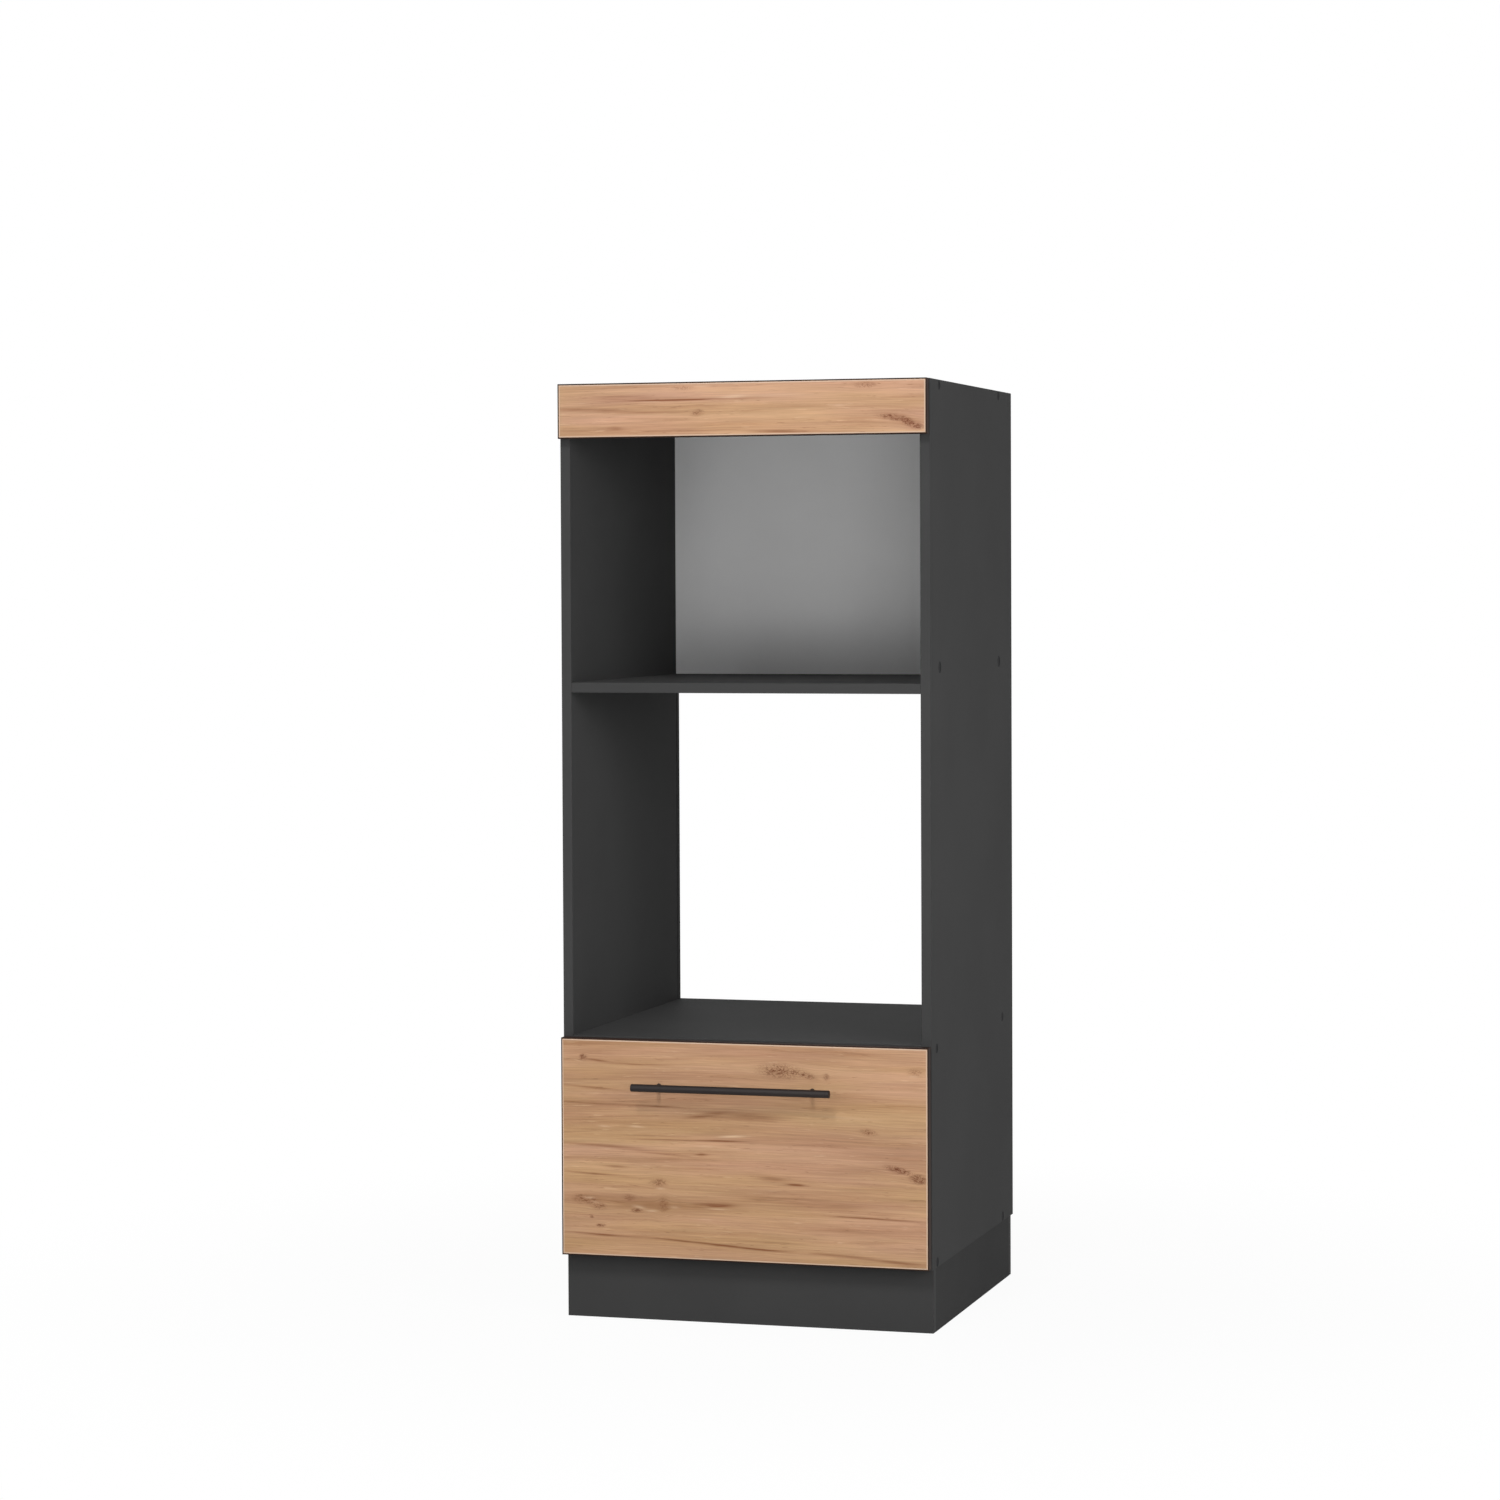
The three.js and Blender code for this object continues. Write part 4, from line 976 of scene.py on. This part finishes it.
# %% Carcass boards
GRAPHITE_FINISH = board_finish("graphite_melamine", "graphite_edge_band")
# the plinth finish is darker melamine, painted shade under the drawer front's overhang
PLINTH_PAINTED_SHADE_FINISH = board_finish("graphite_plinth_painted_shade", "graphite_edge_band")
for side in SIDES:
    make_board(f"side_panel_{side}", [FRONT, TOP], GRAPHITE_FINISH, cut=cut_side(side))
for shelf in ("top_panel", "microwave_shelf", "oven_floor_panel", "bottom_panel"):
    make_board(shelf, [FRONT], GRAPHITE_FINISH)
for kick in ("plinth_front", "plinth_rear"):
    make_board(kick, [LEFT, RIGHT], PLINTH_PAINTED_SHADE_FINISH)
for kick in ("plinth_left", "plinth_right"):
    make_board(kick, [], PLINTH_PAINTED_SHADE_FINISH)
print("ten graphite boards")

# %% [markdown]
# ## The back boards
# A back board is 3 mm of hardboard, with a pale lacquer on the side that shows and raw on the other. The
# drawer's bottom is the same sheet with the lacquer up. The core maker serves here too: it gives both broad
# faces the lacquer, and the one that looks away then gets the raw slot by its normal.

# %% Back boards
def make_thin_board(node, axis, raw_sign):
    """A lacquered hardboard sheet whose face towards raw_sign along axis is raw."""
    bm = bmesh.new()
    make_core(bm, *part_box(node), axis)
    for face in bm.faces:
        if face.normal[axis] * raw_sign > 0.5:
            face.material_index = CORE
    lacquer = SKIN["pale_back_lacquer"]
    sheet = link_mesh(f"{node}_sheet", bm, [lacquer, lacquer, RAW_HARDBOARD, lacquer])
    return stand_for(even_shading(sheet), node)


for sheet in ("back_panel_upper", "back_panel_lower"):
    make_thin_board(sheet, Y, 1)
make_thin_board("drawer_bottom", Z, -1)
print("three hardboard sheets")

# %% [markdown]
# ## The oak fronts
# The fascia and the drawer front are banded on all four sides with a dark band. The face's border is milled
# to a shallow slope and coloured pale, a painted highlight of the rounded arris: that is the thin light line
# along each border of the fronts, with the band as a dark line outside it.

# %% Oak fronts
FRONT_BAND = 0.0020
FRONT_RADIUS = 0.0008
HIGHLIGHT_BORDER_WIDTH = 0.0024
PALE_SLOPE = 0.0004
ALL_ROUND = [LEFT, RIGHT, TOP, BOTTOM]
for oak_node, oak_print in (("drawer_front", OAK_DRAWER), ("fascia_panel", OAK_FASCIA)):
    oak_finish = [oak_print, SKIN["dark_oak_edge_band"], CHIP_CORE, SKIN["pale_border_painted_highlight"]]
    make_board(oak_node, ALL_ROUND, oak_finish, FRONT_BAND, FRONT_RADIUS,
               border=HIGHLIGHT_BORDER_WIDTH, slope=PALE_SLOPE)
print("fronts banded", FRONT_BAND / MM, "mm thick on", len(ALL_ROUND), "sides")

# %% [markdown]
# ## The drawer box
# Behind the oak front hangs a box of pale grey boards with banded top edges. It shows only when the drawer
# is open, and it has to look right there too.

# %% Drawer box
DRAWER_FINISH = board_finish("pale_grey_melamine", "pale_grey_edge_band")
for wall in ("drawer_side_left", "drawer_side_right"):
    make_board(wall, [TOP, REAR], DRAWER_FINISH)
for wall in ("drawer_box_front", "drawer_box_back"):
    make_board(wall, [TOP], DRAWER_FINISH)
print("drawer box in four boards")

# %% [markdown]
# ## The rail handle
# A round bar on two posts, powder-coated in graphite. Bar and posts are turned shapes, so each is a profile
# spun round an axis. The profile lists a radius at each place along the axis, with a few points on the
# rounded ends. Rings of points joined by faces are short to write and stay closed at the ends.

# %% Turned shapes
TURNED_STEPS = 48
CORNER_STEPS = 4


def turned_piece(name, node, profile, turn):
    """A piece of the handle spun round the local Z axis from (radius, height) pairs, moved by a matrix."""
    bm = bmesh.new()
    rings = []
    for radius, height in profile:
        ring = []
        for step in range(TURNED_STEPS):
            angle = 2 * math.pi * step / TURNED_STEPS
            point = Vector((radius * math.cos(angle), radius * math.sin(angle), height))
            ring.append(bm.verts.new(turn @ point))
        rings.append(ring)
    bm.faces.new(rings[0][::-1])
    bm.faces.new(rings[-1])
    for lower, upper in zip(rings, rings[1:]):
        for step in range(TURNED_STEPS):
            after = (step + 1) % TURNED_STEPS
            bm.faces.new((lower[step], lower[after], upper[after], upper[step]))
    return stand_for(even_shading(link_mesh(name, bm, [SKIN["graphite_powder_coat"]])), node)


def rounded_end(radius, height, corner, direction):
    """Profile points round a corner, from the side of a bar to its end face."""
    points = []
    for step in range(CORNER_STEPS + 1):
        angle = QUARTER_TURN * step / CORNER_STEPS
        points.append((radius - corner + corner * math.cos(angle),
                       height - direction * corner + direction * corner * math.sin(angle)))
    return points


print("turned shapes have", TURNED_STEPS, "sides")

# %% Handle
BAR_CORNER = 0.0012
POST_FOOT = 0.0008
POST_FOOT_HEIGHT = 0.0012

bar_low, bar_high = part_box("handle_bar")
bar_radius = (bar_high.z - bar_low.z) / 2
bar_half = (bar_high.x - bar_low.x) / 2
bar_profile = (rounded_end(bar_radius, -bar_half, BAR_CORNER, -1)[::-1]
               + rounded_end(bar_radius, bar_half, BAR_CORNER, 1))
along_x = Matrix.Translation((bar_low + bar_high) / 2) @ Matrix.Rotation(QUARTER_TURN, 4, "Y")
turned_piece("handle_rail", "handle_bar", bar_profile, along_x)

for side in SIDES:
    post_low, post_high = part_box(f"handle_post_{side}")
    post_radius = (post_high.z - post_low.z) / 2
    stem_radius = post_radius - POST_FOOT
    post_profile = [(post_radius, 0.0), (post_radius, POST_FOOT_HEIGHT),
                    (stem_radius, POST_FOOT_HEIGHT + POST_FOOT), (stem_radius, post_high.y - post_low.y)]
    foot = ((post_low.x + post_high.x) / 2, post_high.y, (post_low.z + post_high.z) / 2)
    out_along_y = Matrix.Translation(foot) @ Matrix.Rotation(QUARTER_TURN, 4, "X")
    turned_piece(f"handle_stem_{side}", f"handle_post_{side}", post_profile, out_along_y)
print("handle", round(2 * bar_half / MM), "mm long, bar", round(2 * bar_radius / MM, 1), "mm thick")

# %% [markdown]
# ## Caps, plugs and pads with Geometry Nodes
# Twelve caps, four plugs and two bumper pads are all small round buttons, so one node tree makes them. It
# starts from a disc and extrudes it in short steps, each a little narrower, which rounds the rim and sinks
# the dish. The button is placed on every point of a small mesh that holds the places, and turned to face
# along the direction stored there. The tree ends by making the copies real and setting the material.

# %% Button tree
GEOMETRY = "NodeSocketGeometry"
BUTTON_SIDES = 40
WELD = 1e-6


def make_button_tree():
    tree, given, result = new_group("GeometryNodeTree", "round_buttons", [
        ("Places", GEOMETRY, None), ("Radius", FLOAT, 0.0075), ("Thickness", FLOAT, 0.0018),
        ("Rim", FLOAT, 0.0004), ("Dish", FLOAT, 0.0003), ("Finish", "NodeSocketMaterial", None)],
        [("Buttons", GEOMETRY)])
    rim, dish, radius = given["Rim"], given["Dish"], given["Radius"]
    disc = add(tree, "GeometryNodeMeshCircle", {"Vertices": BUTTON_SIDES, "Radius": radius}, fill_type="NGON")
    under = add(tree, "GeometryNodeFlipFaces", {0: disc.outputs[0]}).outputs[0]
    rim_share = calc(tree, "DIVIDE", rim, radius)
    steps = [
        # how far the crown rises, and what share of its width it keeps
        (calc(tree, "SUBTRACT", given["Thickness"], rim), 1.0),
        (times(tree, rim, 0.7), calc(tree, "MULTIPLY_ADD", rim_share, -0.3, 1.0)),
        (times(tree, rim, 0.3), calc(tree, "MULTIPLY_ADD", rim_share, -0.8, 1.0)),
        (0.0, 0.86),
        (times(tree, dish, -0.7), 0.93),
        (times(tree, dish, -0.3), 0.80),
    ]
    shape, crown = disc.outputs[0], True
    for lift, narrow in steps:
        raised = add(tree, "GeometryNodeExtrudeMesh", {
            "Mesh": shape, "Selection": crown, "Offset Scale": lift}, mode="FACES").outputs
        crown = raised["Top"]
        shape = add(tree, "GeometryNodeScaleElements", {
            "Geometry": raised["Mesh"], "Selection": crown, "Scale": narrow}, domain="FACE").outputs[0]
    joined = add(tree, "GeometryNodeJoinGeometry")
    tree.links.new(shape, joined.inputs[0])
    tree.links.new(under, joined.inputs[0])
    button = add(tree, "GeometryNodeMergeByDistance", {"Geometry": joined.outputs[0], "Distance": WELD})
    facing = add(tree, "GeometryNodeInputNamedAttribute", {"Name": "facing"}, data_type="FLOAT_VECTOR")
    turned = add(tree, "FunctionNodeAlignRotationToVector", {"Vector": facing.outputs[0]}, axis="Z")
    copies = add(tree, "GeometryNodeInstanceOnPoints", {
        "Points": given["Places"], "Instance": button.outputs[0], "Rotation": turned.outputs[0]})
    real = add(tree, "GeometryNodeRealizeInstances", {"Geometry": copies.outputs[0]})
    finished = add(tree, "GeometryNodeSetMaterial", {
        "Geometry": real.outputs[0], "Material": given["Finish"]})
    feed(tree, result, {"Buttons": finished.outputs[0]})
    return tree


BUTTONS = make_button_tree()
print(BUTTONS.name, "has", len(BUTTONS.nodes), "nodes")

# %% Run a tree
def run_tree(name, tree, places, facings, inputs):
    """A plain mesh from a geometry tree, fed by points with a facing direction."""
    mesh = bpy.data.meshes.new(name)
    mesh.from_pydata([tuple(place) for place in places], [], [])
    facing = mesh.attributes.new("facing", "FLOAT_VECTOR", "POINT")
    for item, direction in zip(facing.data, facings):
        item.vector = direction
    piece = bpy.data.objects.new(name, mesh)
    bpy.context.scene.collection.objects.link(piece)
    modifier = piece.modifiers.new(name, "NODES")
    modifier.node_group = tree
    sockets = {item.name: item.identifier for item in tree.interface.items_tree if item.in_out == "INPUT"}
    for label, value in inputs.items():
        modifier[sockets[label]] = value
    settle(piece)
    piece.data.shade_smooth()
    piece.data.set_sharp_from_angle(angle=SHARP)
    return piece


def recess_buttons(name, prefix, rim, dish):
    """One button over each solid whose name starts so, in its recess in a side panel."""
    found = list(node_middles(prefix))
    places = [(side * (cad_high.x - RECESS_DEPTH), middle.y, middle.z) for _, middle, side in found]
    piece = run_tree(name, BUTTONS, places, [(side, 0, 0) for _, _, side in found],
                     {"Radius": RECESS_RADIUS[prefix], "Thickness": RECESS_DEPTH, "Rim": rim, "Dish": dish,
                      "Finish": SKIN["black_moulded_plastic"]})
    return piece, [node for node, _, _ in found]


caps, screws = recess_buttons("screw_caps", "screw_", rim=0.0005, dish=0.0003)
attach(caps, "cabinet")

plug_buttons, plugs = recess_buttons("hole_plugs", "hole_plug_", rim=0.0006, dish=0.0004)
stand_for(plug_buttons, *plugs)

pads = [f"bumper_pad_{side}" for side in SIDES]
pad_boxes = [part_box(pad) for pad in pads]
pad_places = [((low.x + high.x) / 2, low.y, (low.z + high.z) / 2) for low, high in pad_boxes]
pad_low, pad_high = pad_boxes[0]
pad_buttons = run_tree("bumper_pads", BUTTONS, pad_places, [(0, 1, 0)] * len(pads),
                       {"Radius": (pad_high.x - pad_low.x) / 2, "Thickness": pad_high.y - pad_low.y,
                        "Rim": 0.0005, "Dish": 0.0, "Finish": CLEAR})
stand_for(pad_buttons, *pads)
print(len(screws), "caps,", len(plugs), "plugs,", len(pads), "pads")

# %% [markdown]
# ## Metal fittings
# Screws, cams, bolts, brackets and the runner members keep their solids' shapes, which are right as they are.
# They take a steel finish in place of their plain colour. Only the shelf's cams are cast, and look duller.

# %% Steel on the fittings
FITTINGS = ("screw_", "front_screw_", "handle_screw_", "shelf_bolt_", "shelf_cam_",
            "fascia_bracket_", "runner_")
dressed = 0
for node, solid in NODES.items():
    if node.startswith(FITTINGS):
        solid.data.materials.clear()
        solid.data.materials.append(CAST_ZINC if node.startswith("shelf_cam_") else ZINC)
        dressed += 1
print(dressed, "fittings dressed in steel")

# %% [markdown]
# ## Finish
# The dressed cabinet is measured against its solids, and how far its box has grown is printed in millimetres.

# %% Measure and finish
dressed_low, dressed_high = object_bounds()
grown = (dressed_high - dressed_low) - (cad_high - cad_low)
print("grown by", [round(length / MM, 3) for length in grown], "mm")
